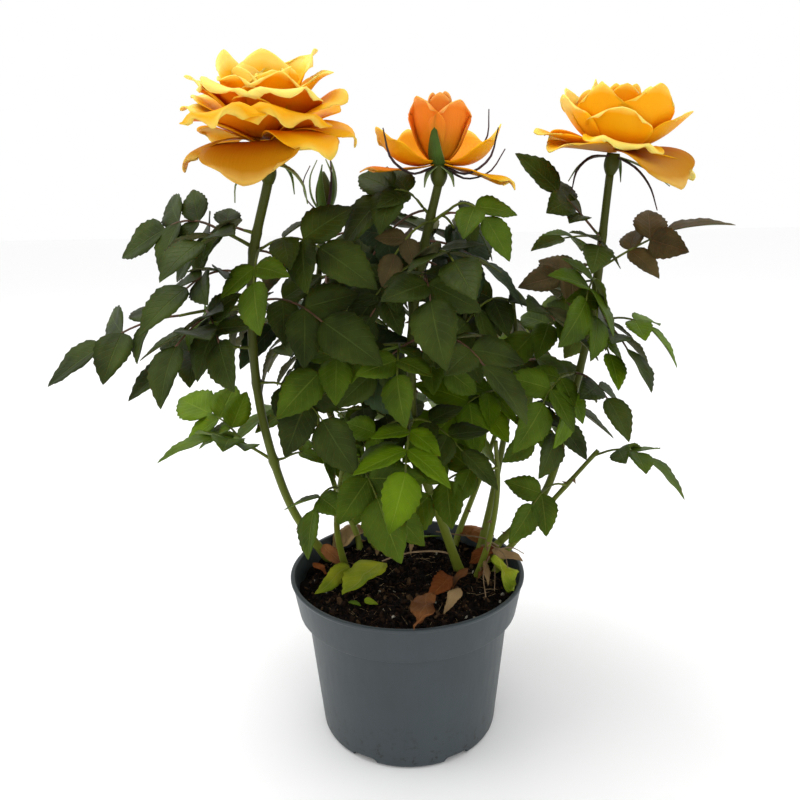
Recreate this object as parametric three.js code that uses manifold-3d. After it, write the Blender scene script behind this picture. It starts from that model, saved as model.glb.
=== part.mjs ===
// A potted patio rose: a collared nursery pot filled with compost, canes that rise from four rooted
// cuttings, three large yellow blooms, one closed bud, and side shoots of pinnate leaves.
// Millimetres, +Z up. The origin is the centre of the pot's flat underside; -Y is the front.
import * as THREE from 'three';
import { mergeVertices } from 'three/addons/utils/BufferGeometryUtils.js';
import Module from 'manifold-3d';

const wasm = await Module();
wasm.setup();

// ---------------------------------------------------------------- driving dimensions

const GAP = 0.3; // clearance between two solids that touch
const ALMOST = 0.985; // where the last piece of a stalk or a shoot is set, sunk into its end

const POT = {
  rimRadius: 60,
  height: 85,
  lip: 2.2, // width of the flat lip on top of the rim
  rimBand: 1.8, // height of the rim's upright edge
  rimStands: 0.8, // how far that edge stands out of the collar
  collarRadius: 56.2, // outer radius at the collar's lower edge
  collarDrop: 18.7, // the collar's lower edge, below the rim
  collarSlope: 2.4, // height of the slope from the wall out to the collar
  wallRadius: 52, // outer radius of the wall just under the collar
  footRadius: 46, // outer radius of the wall at the foot
  footRound: 2.6, // rounding between wall and underside
  wall: 1.3,
  floor: 2,
  floorRound: 1.6, // rounding between wall and floor inside
  segments: 32,
};
const DRAIN = {
  count: 6,
  firstAzimuth: -120, // degrees
  archWidth: 14,
  archHeight: 3.4,
  archDepth: 6,
};
const SOIL = { level: 78, edge: 2.8, edgeDrop: 0.6 }; // the compost sinks a little round its edge

// A cane is a curve through hand-chosen points, from the compost to its tip, with the radius of its
// foot and of its tip. sepals lists what stands round the hip at the tip of a cane that flowers: the
// azimuth of each sepal, and the angles between it and the cane at its foot and at its tip.
const CANES = {
  cane_left: {
    through: [
      [-41, 25, 74], [-60, 15, 112], [-69, 2, 158], [-70, -11, 201], [-66, -20, 243], [-55, -31, 278],
    ],
    foot: 2.2, tip: 2.0, hip: 3.6,
    sepals: [[-20, 100, 165], [130, 95, 150]],
  },
  cane_centre: {
    through: [[29, 11, 74], [20, 5, 103], [5, -4, 154], [4, -12, 210], [9, -17, 246], [16, -20, 276]],
    foot: 2.5, tip: 1.9, hip: 3.7,
    sepals: [[-104, 62, -30], [172, 88, 30], [-8, 88, 24], [36, 70, 30], [-52, 92, 50]],
  },
  cane_right: {
    through: [
      [43, 20, 74], [49, 21, 86], [64, 23, 101], [77, 20, 124], [86, 13, 175], [92, 8, 217], [95, 1, 280],
    ],
    foot: 2.3, tip: 1.8, hip: 3.5,
    sepals: [[-160, 110, 170], [-50, 105, 150], [40, 100, 140], [130, 100, 150]],
  },
  cane_bud: {
    through: [[-16, 38, 74], [-29, 36, 120], [-45, 29, 185], [-43, 25, 222], [-37, 20, 262]],
    foot: 2.0, tip: 1.3, bud: 4.6,
  },
  cane_low_right: {
    through: [[46, 8, 74], [51, 9, 86], [64, 12, 100], [84, 17, 121], [101, 18, 141]],
    foot: 1.9, tip: 1.0,
  },
  cane_inner_right: {
    through: [[40, 30, 74], [48, 33, 110], [54, 30, 150], [58, 26, 192], [54, 20, 226]],
    foot: 2.1, tip: 1.1,
  },
  cane_front_left: {
    through: [[-33, 17, 74], [-36, 4, 105], [-32, -10, 136], [-26, -18, 165]],
    foot: 1.9, tip: 1.0,
  },
  cane_front_right: {
    through: [[36, 4, 74], [42, -6, 104], [44, -16, 134], [42, -22, 160]],
    foot: 1.8, tip: 1.0,
  },
  cane_back_left: {
    through: [[-26, 37, 74], [-29, 43, 86], [-42, 56, 112], [-52, 68, 156], [-52, 72, 200]],
    foot: 2.0, tip: 1.0,
  },
  cane_back: {
    through: [[8, 42, 74], [8, 56, 118], [6, 64, 168], [4, 62, 222]],
    foot: 2.1, tip: 1.0,
  },
  cane_back_right: {
    through: [[27, 38, 74], [31, 43, 86], [44, 58, 112], [60, 70, 154], [72, 72, 194]],
    foot: 2.0, tip: 1.0,
  },
};
const CANE = {
  sides: 5,
  steps: 2, // rings of faces from one point of a cane to the next
  marks: 24, // points of a cane that a growing leaf feels
  flare: 0.8, // what the foot adds to the radius
  flareFades: 0.05, // the share of the cane over which the flare fades
};
const HIP = { length: 8, sunk: 1.5, top: 0.8, rings: 5 }; // sunk into the cane's tip
const BUD = { length: 21, top: 0.15 };
const SEPAL = { length: 24, width: 3.4, thickness: 0.8, belowShoulder: 1.6, steps: 3 };

// A spray is one mass of foliage: a side shoot that leaves a cane at a height, towards an azimuth
// (0 is +X, 90 is the back, -90 the front), rising from the level. droop is how far its leaves sink
// by their stalks' ends, and reach is from the cane to the tip of its last leaf.
const SPRAYS = [
  // name, cane, height, azimuth, rise, droop, reach, leaves
  ['left_top', 'cane_left', 250, 184, 34, 0.5, 76, 2],
  ['left_shoulder', 'cane_left', 238, 228, 20, 0.5, 58, 1],
  ['left_high_front', 'cane_left', 256, -156, 24, 0.6, 56, 1],
  ['left_inside', 'cane_left', 248, -20, 30, 0.5, 66, 1],
  ['left_far', 'cane_left', 224, 187, 0, 0.3, 100, 2],
  ['left_middle', 'cane_left', 204, 204, 14, 0.4, 60, 1],
  ['left_front', 'cane_left', 226, -24, 12, 0.5, 68, 1],
  ['left_back', 'cane_left', 222, 122, 14, 0.4, 80, 1],
  ['left_low', 'cane_left', 142, 186, 40, 0.3, 84, 2],
  ['left_low_front', 'cane_left', 186, -16, 12, 0.6, 70, 1],
  ['left_hanging', 'cane_left', 142, -10, 24, 0.6, 56, 1],
  ['bud_top', 'cane_bud', 250, -30, 26, 0.5, 62, 1],
  ['bud_right', 'cane_bud', 232, -34, 16, 0.4, 74, 2],
  ['bud_middle', 'cane_bud', 204, -54, 12, 0.5, 84, 2],
  ['bud_low', 'cane_bud', 162, -60, 16, 0.5, 84, 1],
  ['bud_back', 'cane_bud', 222, 100, 14, 0.4, 76, 1],
  ['centre_top_left', 'cane_centre', 262, 196, 52, 0.7, 64, 1],
  ['centre_top_right', 'cane_centre', 258, -40, 36, 0.7, 58, 2],
  ['centre_high_right', 'cane_centre', 242, -24, 28, 0.5, 64, 1],
  ['centre_high_back', 'cane_centre', 250, 88, 26, 0.4, 74, 1],
  ['centre_front', 'cane_centre', 236, -80, 18, 0.6, 64, 1],
  ['centre_left', 'cane_centre', 204, 210, 12, 0.5, 74, 2],
  ['centre_right', 'cane_centre', 208, -50, 12, 0.5, 78, 2],
  ['centre_low', 'cane_centre', 168, -92, 12, 0.6, 76, 2],
  ['right_top', 'cane_right', 250, 196, 46, 0.1, 58, 1],
  ['right_far', 'cane_right', 236, -4, 36, 0.1, 62, 1],
  ['right_front', 'cane_right', 230, -108, 16, 0.5, 62, 1],
  ['right_side', 'cane_right', 208, -26, 30, 0.5, 52, 1],
  ['right_back', 'cane_right', 214, 84, 12, 0.4, 76, 1],
  ['right_middle', 'cane_right', 184, -122, 14, 0.5, 68, 2],
  ['right_low', 'cane_right', 162, -110, 20, 0.5, 56, 1],
  ['inner_right_top', 'cane_inner_right', 218, -110, 20, 0.5, 84, 2],
  ['inner_right_low', 'cane_inner_right', 172, -110, 16, 0.5, 84, 2],
  ['inner_right_back', 'cane_inner_right', 184, 66, 14, 0.4, 76, 1],
  ['low_right_far', 'cane_low_right', 138, -24, 30, 0.5, 56, 1],
  ['low_right_front', 'cane_low_right', 122, -134, 28, 0.6, 54, 1],
  ['front_left_top', 'cane_front_left', 150, -60, 20, 0.6, 70, 1],
  ['front_left_low', 'cane_front_left', 132, -96, 34, 0.6, 54, 1],
  ['front_right_top', 'cane_front_right', 146, -120, 16, 0.6, 66, 1],
  ['back_left_top', 'cane_back_left', 194, 130, 26, 0.4, 84, 2],
  ['back_left_low', 'cane_back_left', 146, 158, 14, 0.4, 78, 1],
  ['back_top', 'cane_back', 214, 84, 32, 0.4, 84, 2],
  ['back_low', 'cane_back', 150, 76, 12, 0.4, 78, 1],
  ['back_right_top', 'cane_back_right', 188, 46, 26, 0.4, 84, 2],
];
const SHOOT = {
  foot: 0.95,
  tip: 0.62,
  droop: 0.1,
  shortest: 4,
  spread: 62, // degrees from the shoot to a leaf at its side
  lower: 0.88, // length of a leaf at its side, as a share of the last one's
};
const SEEDS = { first: 977, step: 41 };
const LEAF = {
  length: 70, // from the foot of its stalk to the tip of its last leaflet
  stalkShare: 0.52,
  stalkFoot: 0.62,
  stalkTip: 0.44,
  outward: 1, // how far a leaf turns its face away from the plant's middle, against up
  frontward: 0.5, // how far it turns to the front, where the plant's light comes from
  pairs: [[0.36, 0.76], [0.72, 0.94]], // where each pair of leaflets sits, and its size
  simple: 51, // a leaf shorter than this has one pair of leaflets, not two
  terminal: 1.14,
  leaflet: 0.42, // length of a leaflet of size 1, as a share of the leaf's
  lateralAngle: 62,
};
// How much one leaf differs from the next: degrees for its stalk, and then for each of its leaflets,
// whose dip, length and curl are shares.
const VARIETY = { azimuth: 10, rise: 8, yaw: 18, tilt: 64, dip: 0.36, length: 0.16, curl: 1.6 };
const LEAFLET = { width: 0.72, fold: 0.22, curl: 0.12, leastCurl: 0.4, thickness: 0.5 };

// A leaf that starts to grow turns to the freest of a few directions. reach is how near another
// leaflet or cane is felt, and ease is what a turn of one degree costs.
const CROWDING = { turns: [0, 15, -15, 30, -30, 45, -45], reach: 15, ease: 0.004 };

// A bloom is a heart of folded petals with whorls of open petals round it. opens and ends are the
// angles between a petal and the bloom's axis at its foot and at its tip.
const BLOOMS = {
  bloom_left: {
    cane: 'cane_left', lean: [0.04, -0.2], heart: { radius: 24, length: 37 },
    whorls: [
      { petals: 6, length: 41, width: 17, opens: 52, ends: 84, turn: 24 },
      { petals: 5, length: 38, width: 18, opens: 78, ends: 122, turn: -14 },
      { petals: 2, length: 27, width: 19, opens: 92, ends: 156, turn: -78 },
    ],
  },
  bloom_centre: {
    cane: 'cane_centre', lean: [0.02, -0.03], heart: { radius: 12, length: 22 },
    whorls: [
      { petals: 4, length: 26, width: 14, opens: 46, ends: -14, turn: -45 },
      { petals: 4, length: 29, width: 13, opens: 76, ends: 40, turn: -12 },
      { petals: 2, length: 30, width: 10, opens: 100, ends: 84, turn: -8 },
    ],
  },
  bloom_right: {
    cane: 'cane_right', lean: [0.1, -0.1], heart: { radius: 17, length: 26 },
    whorls: [
      { petals: 5, length: 32, width: 17, opens: 62, ends: 6, turn: -60 },
      { petals: 4, length: 36, width: 19, opens: 88, ends: 44, turn: -22 },
      { petals: 1, length: 38, width: 20, opens: 80, ends: 150, turn: -14 },
      { petals: 1, length: 34, width: 14, opens: 88, ends: 72, turn: 196 },
    ],
  },
};
const PETAL = {
  foot: 2.6, // from the bloom's axis
  lift: 1, // above the hip
  thickness: 1.1,
  rim: 0.3,
  cup: 1.6,
  tightest: 7, // least radius that a petal is bent to across its width
  along: 3, // faces along it
  across: 2,
};
const HEART = { base: 6, sides: 8, rings: 4 };

// ---------------------------------------------------------------- materials

const finish = (color, roughness) => new THREE.MeshStandardMaterial({ color, roughness, metalness: 0 });
const MATERIALS = {
  pot: finish(0x545d63, 0.5),
  soil: finish(0x1d1613, 0.95),
  cane: finish(0x56702c, 0.5),
  leaf: finish(0x2f4a22, 0.45),
  petal: finish(0xf2a81d, 0.6),
};

// ---------------------------------------------------------------- solids and meshes

// A closed geometry as a manifold-3d solid, without the triangles that shrink to a line where points
// of it fall together.
function solidFrom(geometry) {
  const bare = geometry.clone();
  bare.deleteAttribute('normal');
  bare.deleteAttribute('uv');
  const merged = mergeVertices(bare, 1e-4);
  const corners = Array.from(merged.index.array);
  const triangles = corners.flatMap((a, i) => (i % 3 ? [] : [[a, corners[i + 1], corners[i + 2]]]));
  const sound = triangles.filter(([a, b, c]) => a !== b && b !== c && c !== a);
  return new wasm.Manifold(
    new wasm.Mesh({
      numProp: 3,
      vertProperties: merged.attributes.position.array,
      triVerts: new Uint32Array(sound.flat()),
    }),
  );
}

function nodeFrom(name, solid, material) {
  const mesh = solid.getMesh();
  const geometry = new THREE.BufferGeometry();
  geometry.setAttribute('position', new THREE.BufferAttribute(new Float32Array(mesh.vertProperties), 3));
  geometry.setIndex(new THREE.BufferAttribute(new Uint32Array(mesh.triVerts), 1));
  geometry.computeVertexNormals();
  const node = new THREE.Mesh(geometry, material);
  node.name = name;
  return node;
}

// The largest outer body of a union, with every hollow that the fusing sealed filled in.
function wholeBody(solid) {
  const outer = solid.decompose().filter((body) => body.volume() > 0);
  outer.sort((a, b) => b.volume() - a.volume());
  return outer[0];
}

const fuse = (solids) => wholeBody(wasm.Manifold.union(solids));

// Moves every vertex of a geometry to where the function puts it.
function reshape(geometry, place) {
  const position = geometry.attributes.position;
  const point = new THREE.Vector3();
  for (let i = 0; i < position.count; i++) {
    place(point.fromBufferAttribute(position, i));
    position.setXYZ(i, point.x, point.y, point.z);
  }
  return geometry;
}

// Numbers from 0 to 1 that are the same for the same seed.
function seeded(seed) {
  let state = seed;
  return () => {
    state = (state * 48271) % 2147483647;
    return state / 2147483647;
  };
}

const radians = THREE.MathUtils.degToRad;
const UP = new THREE.Vector3(0, 0, 1);
const FRONT = new THREE.Vector3(0, -1, 0);

const direction = (azimuth, rise) =>
  new THREE.Vector3(
    Math.cos(radians(azimuth)) * Math.cos(radians(rise)),
    Math.sin(radians(azimuth)) * Math.cos(radians(rise)),
    Math.sin(radians(rise)),
  );

// A direction, and the part of another one that stands across it, both of length 1.
function axes(first, second) {
  const along = first.clone().normalize();
  const upper = second.clone().addScaledVector(along, -second.dot(along)).normalize();
  return [along, upper];
}

// Stops from 0 to 1 along a curve, an even step apart.
const evenly = (steps) => Array.from({ length: steps + 1 }, (_, i) => i / steps);

// A tapering limb: a cylinder bent along a curve, with a ring at each stop along it.
function limb(curve, radiusAt, sides, stops) {
  const rod = new THREE.CylinderGeometry(1, 1, 1, sides, stops.length - 1);
  reshape(rod, (p) => {
    const t = stops[Math.round((p.y + 0.5) * (stops.length - 1))];
    const tangent = curve.getTangent(t);
    const [along, upper] = axes(tangent, Math.abs(tangent.z) < 0.7 ? UP : FRONT);
    const [x, y] = [p.x * radiusAt(t), p.z * radiusAt(t)];
    p.copy(curve.getPoint(t)).addScaledVector(along.cross(upper), x).addScaledVector(upper, y);
  });
  return solidFrom(rod);
}

// ---------------------------------------------------------------- pot and compost

function buildPot() {
  const p = POT;
  const collarTop = p.height - p.rimBand;
  const collarFoot = p.height - p.collarDrop;
  const underCollar = collarFoot - p.collarSlope;
  const inside = p.footRadius - p.wall;
  const round = (turn) => [
    p.footRadius - p.footRound * (1 - Math.sin(turn)),
    p.footRound * (1 - Math.cos(turn)),
  ];
  const profile = [
    [0, 0],
    [p.footRadius - p.footRound, 0],
    round(Math.PI / 4),
    round(Math.PI / 2),
    [p.wallRadius, underCollar],
    [p.collarRadius, collarFoot],
    [p.rimRadius - p.rimStands, collarTop],
    [p.rimRadius, collarTop + p.rimStands],
    [p.rimRadius, p.height],
    [p.rimRadius - p.lip, p.height],
    [p.collarRadius - p.lip, collarFoot],
    [p.wallRadius - p.wall, underCollar - p.wall],
    [inside, p.footRound],
    [inside - p.floorRound, p.floor],
    [0, p.floor],
  ].map(([r, z]) => new THREE.Vector2(r, z));
  const shell = new THREE.LatheGeometry(profile, p.segments).rotateX(Math.PI / 2);
  let pot = solidFrom(shell);
  for (let i = 0; i < DRAIN.count; i++) {
    const azimuth = DRAIN.firstAzimuth + (i * 360) / DRAIN.count;
    const arch = new THREE.BoxGeometry(2 * DRAIN.archDepth, DRAIN.archWidth, 2 * DRAIN.archHeight);
    arch.translate(p.footRadius, 0, 0).rotateZ(radians(azimuth));
    pot = pot.subtract(solidFrom(arch));
  }
  return pot;
}

// The root ball fills the pot down to the drain arches, GAP inside the wall.
function buildSoil() {
  const p = POT;
  const collarFoot = p.height - p.collarDrop;
  const floor = DRAIN.archHeight + GAP;
  const edgeLevel = SOIL.level - SOIL.edgeDrop;
  const slope = (p.rimRadius - p.rimStands - p.collarRadius) / (p.collarDrop - p.rimBand);
  const edge = p.collarRadius - p.lip + slope * (edgeLevel - collarFoot);
  const profile = [
    [0, floor],
    [p.footRadius - p.wall - 2 * GAP, floor],
    [p.wallRadius - p.wall - 2 * GAP, collarFoot - p.collarSlope - p.wall],
    [p.collarRadius - p.lip - 2 * GAP, collarFoot],
    [edge - 2 * GAP, edgeLevel],
    [edge - SOIL.edge, SOIL.level],
    [0, SOIL.level],
  ].map(([r, z]) => new THREE.Vector2(r, z));
  return solidFrom(new THREE.LatheGeometry(profile, p.segments).rotateX(Math.PI / 2));
}

// ---------------------------------------------------------------- canes

function caneCurve(cane) {
  const points = cane.through.map((p) => new THREE.Vector3(...p));
  return new THREE.CatmullRomCurve3(points, false, 'catmullrom', 0.5);
}

// The cane's radius along its curve, with a small flare at its foot.
const caneRadius = (cane, t) =>
  cane.foot + (cane.tip - cane.foot) * t + CANE.flare * Math.exp(-t / CANE.flareFades);

// Where the cane's curve passes a height, by halving.
function shareAtHeight(curve, height) {
  let [low, high] = [0, 1];
  for (let i = 0; i < 24; i++) {
    const middle = (low + high) / 2;
    if (curve.getPoint(middle).z < height) low = middle;
    else high = middle;
  }
  return (low + high) / 2;
}

// The end of a cane as a frame that a hip, a bud or a bloom is built on: its axis leans by lean in X
// and Y, and azimuths are measured from across towards back.
function tipFrame(cane, lean = [0, 0]) {
  const axis = new THREE.Vector3(lean[0], lean[1], 1).normalize();
  const across = new THREE.Vector3(0, 1, 0).cross(axis).normalize();
  return { foot: caneCurve(cane).getPoint(1), axis, across, back: axis.clone().cross(across) };
}

const inFrame = (frame, x, y, z) =>
  frame.foot
    .clone()
    .addScaledVector(frame.across, x)
    .addScaledVector(frame.back, y)
    .addScaledVector(frame.axis, z);

// A hip or a closed bud: it swells from the cane's tip and closes towards its top.
function buildSwelling(cane, frame, widest, length, top) {
  const axis = new THREE.LineCurve3(inFrame(frame, 0, 0, -HIP.sunk), inFrame(frame, 0, 0, length));
  const radiusAt = (t) =>
    t < 0.5
      ? cane.tip + (widest - cane.tip) * Math.sin(Math.PI * t)
      : widest * (1 - (1 - top) * (2 * t - 1) ** 2);
  return limb(axis, radiusAt, CANE.sides + 1, evenly(HIP.rings));
}

// A sepal: a narrow leaf that leaves the hip's shoulder and bends from its first angle to its last.
function buildSepal([azimuth, opens, ends], frame, hip, extra = 0) {
  const points = [];
  const way = radians(azimuth);
  const { steps } = SEPAL;
  let [out, up] = [hip / 2, HIP.length - SEPAL.belowShoulder];
  for (let i = 0; i <= steps; i++) {
    points.push(inFrame(frame, out * Math.cos(way), out * Math.sin(way), up));
    const angle = radians(opens + ((ends - opens) * i) / (steps - 1));
    out += (Math.sin(angle) * SEPAL.length) / steps;
    up += (Math.cos(angle) * SEPAL.length) / steps;
  }
  const curve = new THREE.CatmullRomCurve3(points, false, 'catmullrom', 0.5);
  const round = new THREE.Vector3()
    .addScaledVector(frame.across, -Math.sin(way))
    .addScaledVector(frame.back, Math.cos(way));
  const blade = new THREE.CylinderGeometry(1, 1, 1, 4, steps);
  reshape(blade, (p) => {
    const t = p.y + 0.5;
    const half = extra + (SEPAL.width / 2) * Math.min(1, 1.25 * (1.06 - t) ** 0.8);
    const [x, y] = [p.x * half, p.z * (SEPAL.thickness / 2 + extra)];
    const outer = round.clone().cross(curve.getTangent(t)).normalize();
    p.copy(curve.getPoint(t)).addScaledVector(round, x).addScaledVector(outer, y);
  });
  return solidFrom(blade);
}

// The cane without what stands at its tip. extra moves its faces out by that much.
function caneStem(cane, extra = 0) {
  const corner = extra / Math.cos(Math.PI / CANE.sides);
  const stops = evenly(CANE.steps * (cane.through.length - 1));
  return limb(caneCurve(cane), (t) => corner + caneRadius(cane, t), CANE.sides, stops);
}

function buildCane(cane, lean) {
  const frame = tipFrame(cane, lean);
  const parts = [caneStem(cane)];
  if (cane.hip) {
    parts.push(buildSwelling(cane, frame, cane.hip, HIP.length, HIP.top));
    parts.push(...cane.sepals.map((sepal) => buildSepal(sepal, frame, cane.hip)));
  }
  if (cane.bud) parts.push(buildSwelling(cane, frame, cane.bud, BUD.length, BUD.top));
  return fuse(parts).trimByPlane([0, 0, 1], SOIL.level + GAP);
}

// ---------------------------------------------------------------- blooms

// A petal's half width along it, as a share of its widest: a narrow claw, then a broad round blade.
function petalShape(u) {
  const claw = 0.3 + 0.7 * Math.sin((Math.PI / 2) * Math.min(1, u / 0.6));
  const past = Math.max(0, (u - 0.6) / 0.4);
  return claw * Math.sqrt(1 - 0.75 * past * past);
}

// A point of a petal's middle surface, for u from foot to tip and v from edge to edge, in the
// bloom's frame.
function petalPoint(whorl, turn, u, v) {
  const steps = 8;
  let [out, up] = [PETAL.foot, 0];
  for (let i = 0; i < steps; i++) {
    const angle = radians(whorl.opens + ((whorl.ends - whorl.opens) * (i + 0.5) * u) / steps);
    out += (Math.sin(angle) * whorl.length * u) / steps;
    up += (Math.cos(angle) * whorl.length * u) / steps;
  }
  const half = whorl.width * petalShape(u) * v;
  const round = radians(turn) + half / Math.max(out, PETAL.tightest);
  up += PETAL.cup * u * v * v;
  return new THREE.Vector3(out * Math.cos(round), out * Math.sin(round), up);
}

// A petal is thick along its middle and thin at its rim.
function buildPetal(whorl, turn, frame) {
  const sheet = new THREE.BoxGeometry(1, 1, 1, PETAL.along, PETAL.across, 1);
  const small = 0.01;
  reshape(sheet, (p) => {
    const [u, v] = [p.x + 0.5, 2 * p.y];
    const isRim = u > 0.99 || Math.abs(v) > 0.99;
    const side = p.z * (isRim ? PETAL.rim : PETAL.thickness);
    const before = petalPoint(whorl, turn, Math.max(0, u - small), v);
    const alongIt = petalPoint(whorl, turn, u + small, v).sub(before);
    const acrossIt = petalPoint(whorl, turn, u, v + small).sub(petalPoint(whorl, turn, u, v - small));
    const at = petalPoint(whorl, turn, u, v).addScaledVector(alongIt.cross(acrossIt).normalize(), side);
    p.copy(inFrame(frame, at.x, at.y, at.z + HIP.length + GAP + PETAL.lift));
  });
  return solidFrom(sheet);
}

// The petals and their round heart in one body, standing GAP clear of the hip and its sepals.
function buildBloom(bloom) {
  const cane = CANES[bloom.cane];
  const frame = tipFrame(cane, bloom.lean);
  const seat = inFrame(frame, 0, 0, HIP.length + GAP);
  const { radius, length } = bloom.heart;
  const axis = new THREE.LineCurve3(seat, inFrame(frame, 0, 0, HIP.length + length));
  const swell = (t) => HEART.base + (radius - HEART.base) * Math.sin(2.1 * t ** 0.7);
  const petals = [limb(axis, swell, HEART.sides, evenly(HEART.rings))];
  for (const whorl of bloom.whorls) {
    for (let i = 0; i < whorl.petals; i++) {
      petals.push(buildPetal(whorl, whorl.turn + (i * 360) / whorl.petals, frame));
    }
  }
  const room = [buildSwelling(cane, frame, cane.hip + GAP, HIP.length + GAP, HIP.top + GAP / cane.hip)];
  room.push(...cane.sepals.map((sepal) => buildSepal(sepal, frame, cane.hip, GAP)));
  return wholeBody(wasm.Manifold.union(petals).subtract(wasm.Manifold.union(room)));
}

// ---------------------------------------------------------------- leaves

// A leaflet's half width along it, as a share of its widest: broad near the foot, drawn to a point.
const leafletShape = (u) => 2.45 * u ** 0.6 * (1 - u) ** 0.9;

// A point of a leaflet's upper surface, for u from foot to tip and v from edge to edge. It folds up
// along its midrib and curls down towards its tip.
function leafletPoint(leaflet, u, v) {
  const half = (LEAFLET.width / 2) * leafletShape(u) * v;
  const lift = LEAFLET.fold * Math.abs(half) - leaflet.curl * u * u;
  return leaflet.foot
    .clone()
    .addScaledVector(leaflet.along, u * leaflet.length)
    .addScaledVector(leaflet.side, half * leaflet.length)
    .addScaledVector(leaflet.upper, lift * leaflet.length);
}

// A leaflet as a solid of twelve faces: six points round its outline, with a narrow foot, and one
// above and one below its midrib. extra thickens it into the guard that is tested against its
// neighbours.
const OUTLINE = [[0, 0], [0.07, 0.12], [0.42, 1], [1, 0], [0.42, -1], [0.07, -0.12]];
function leafletSolid(leaflet, extra = 0) {
  const blade = new THREE.SphereGeometry(1, OUTLINE.length, 2);
  reshape(blade, (p) => {
    const turn = Math.atan2(p.z, -p.x) / (2 * Math.PI);
    const corner = (Math.round(turn * OUTLINE.length) + OUTLINE.length) % OUTLINE.length;
    const [u, v] = Math.abs(p.y) > 0.5 ? [0.4, 0] : OUTLINE[corner];
    const off = Math.abs(p.y) > 0.5 ? Math.sign(p.y) * (LEAFLET.thickness / 2 + extra) : 0;
    p.copy(leafletPoint(leaflet, u, v * (1 + extra / 6))).addScaledVector(leaflet.upper, off);
  });
  return solidFrom(blade);
}

// A stalk or a shoot: it leaves its foot in one direction and droops.
function droopingCurve(foot, way, length, droop) {
  const middle = foot.clone().addScaledVector(way, length / 2);
  const end = foot.clone().addScaledVector(way, length).addScaledVector(UP, -droop * length);
  return new THREE.QuadraticBezierCurve3(foot, middle, end);
}

// The way a leaf's face looks: up, away from the plant's middle and to the front.
const facing = (foot) =>
  new THREE.Vector3(foot.x, foot.y, 0)
    .multiplyScalar(LEAF.outward / (20 + Math.hypot(foot.x, foot.y)))
    .addScaledVector(FRONT, LEAF.frontward)
    .add(UP);

// A pinnate leaf: a drooping stalk with pairs of leaflets and one at its tip.
function leafAt(foot, azimuth, rise, droop, length, seed) {
  const random = seeded(seed);
  const vary = (amount, balance = 0.5) => amount * (random() - balance);
  const way = direction(azimuth + vary(VARIETY.azimuth), rise + vary(VARIETY.rise));
  const stalk = droopingCurve(foot, way, length * LEAF.stalkShare, droop);
  const leaflets = [];
  const add = (t, size, angle) => {
    const [along, upper] = axes(stalk.getTangent(t), facing(foot));
    const side = along.clone().cross(upper);
    const yaw = radians(angle + vary(VARIETY.yaw));
    const dip = vary(VARIETY.dip, 0.55);
    const out = along.multiplyScalar(Math.cos(yaw)).addScaledVector(side, Math.sin(yaw));
    const [ahead, face] = axes(out.addScaledVector(upper, dip), upper);
    const tilt = radians(vary(VARIETY.tilt));
    const across = ahead.clone().cross(face);
    leaflets.push({
      foot: stalk.getPoint(t),
      along: ahead,
      side: across.clone().multiplyScalar(Math.cos(tilt)).addScaledVector(face, Math.sin(tilt)),
      upper: face.clone().multiplyScalar(Math.cos(tilt)).addScaledVector(across, -Math.sin(tilt)),
      length: LEAF.leaflet * size * length * (1 + vary(VARIETY.length)),
      curl: LEAFLET.curl * (LEAFLET.leastCurl + VARIETY.curl * random()),
    });
  };
  const pairs = length < LEAF.simple ? LEAF.pairs.slice(1) : LEAF.pairs;
  for (const [t, size] of pairs) {
    add(t, size, LEAF.lateralAngle);
    add(t, size, -LEAF.lateralAngle);
  }
  add(ALMOST, LEAF.terminal, 0);
  return { stalk, stops: [0, ...pairs.map(([t]) => t), 1], leaflets };
}

// How crowded a leaf is by the points that mark what has grown before it.
function crowding(leaf, marks) {
  let sum = 0;
  for (const leaflet of leaf.leaflets) {
    const middle = leafletPoint(leaflet, 0.5, 0);
    for (const mark of marks) sum += Math.max(0, 1 - middle.distanceTo(mark) / CROWDING.reach) ** 2;
  }
  return sum;
}

// A leaf at the freest of the turns, which then marks its own place.
function growLeaf(foot, azimuth, rise, droop, length, seed, marks) {
  let best = null;
  for (const turn of CROWDING.turns) {
    const leaf = leafAt(foot, azimuth + turn, rise, droop, length, seed);
    const cost = crowding(leaf, marks) + CROWDING.ease * Math.abs(turn);
    if (!best || cost < best.cost) best = { cost, leaf };
  }
  for (const leaflet of best.leaf.leaflets) marks.push(leafletPoint(leaflet, 0.5, 0));
  return best.leaf;
}

// The stem of a spray, from the middle of its cane, and its leaves: one at the tip, and the others
// below it on alternate sides.
function growSpray([, caneName, height, azimuth, rise, droop, reach, leaves], index, marks) {
  const cane = CANES[caneName];
  const curve = caneCurve(cane);
  const t = shareAtHeight(curve, height);
  const last = Math.min(LEAF.length, reach * (leaves > 1 ? 0.8 : 0.94));
  const length = caneRadius(cane, t) + Math.max(SHOOT.shortest, reach - last);
  const stem = droopingCurve(curve.getPoint(t), direction(azimuth, rise), length, SHOOT.droop);
  const grown = [];
  const stops = [0];
  for (let i = 0; i < leaves; i++) {
    const tip = i === leaves - 1;
    const share = tip ? ALMOST : (i + 0.8) / leaves;
    stops.push(tip ? 1 : share);
    const aside = tip ? 0 : (i % 2 ? -1 : 1) * SHOOT.spread;
    const size = last * (tip ? 1 : SHOOT.lower);
    const seed = SEEDS.first + SEEDS.step * index + i;
    grown.push(growLeaf(stem.getPoint(share), azimuth + aside, rise, droop, size, seed, marks));
  }
  return { cane, stem, stops, leaves: grown };
}

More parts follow.
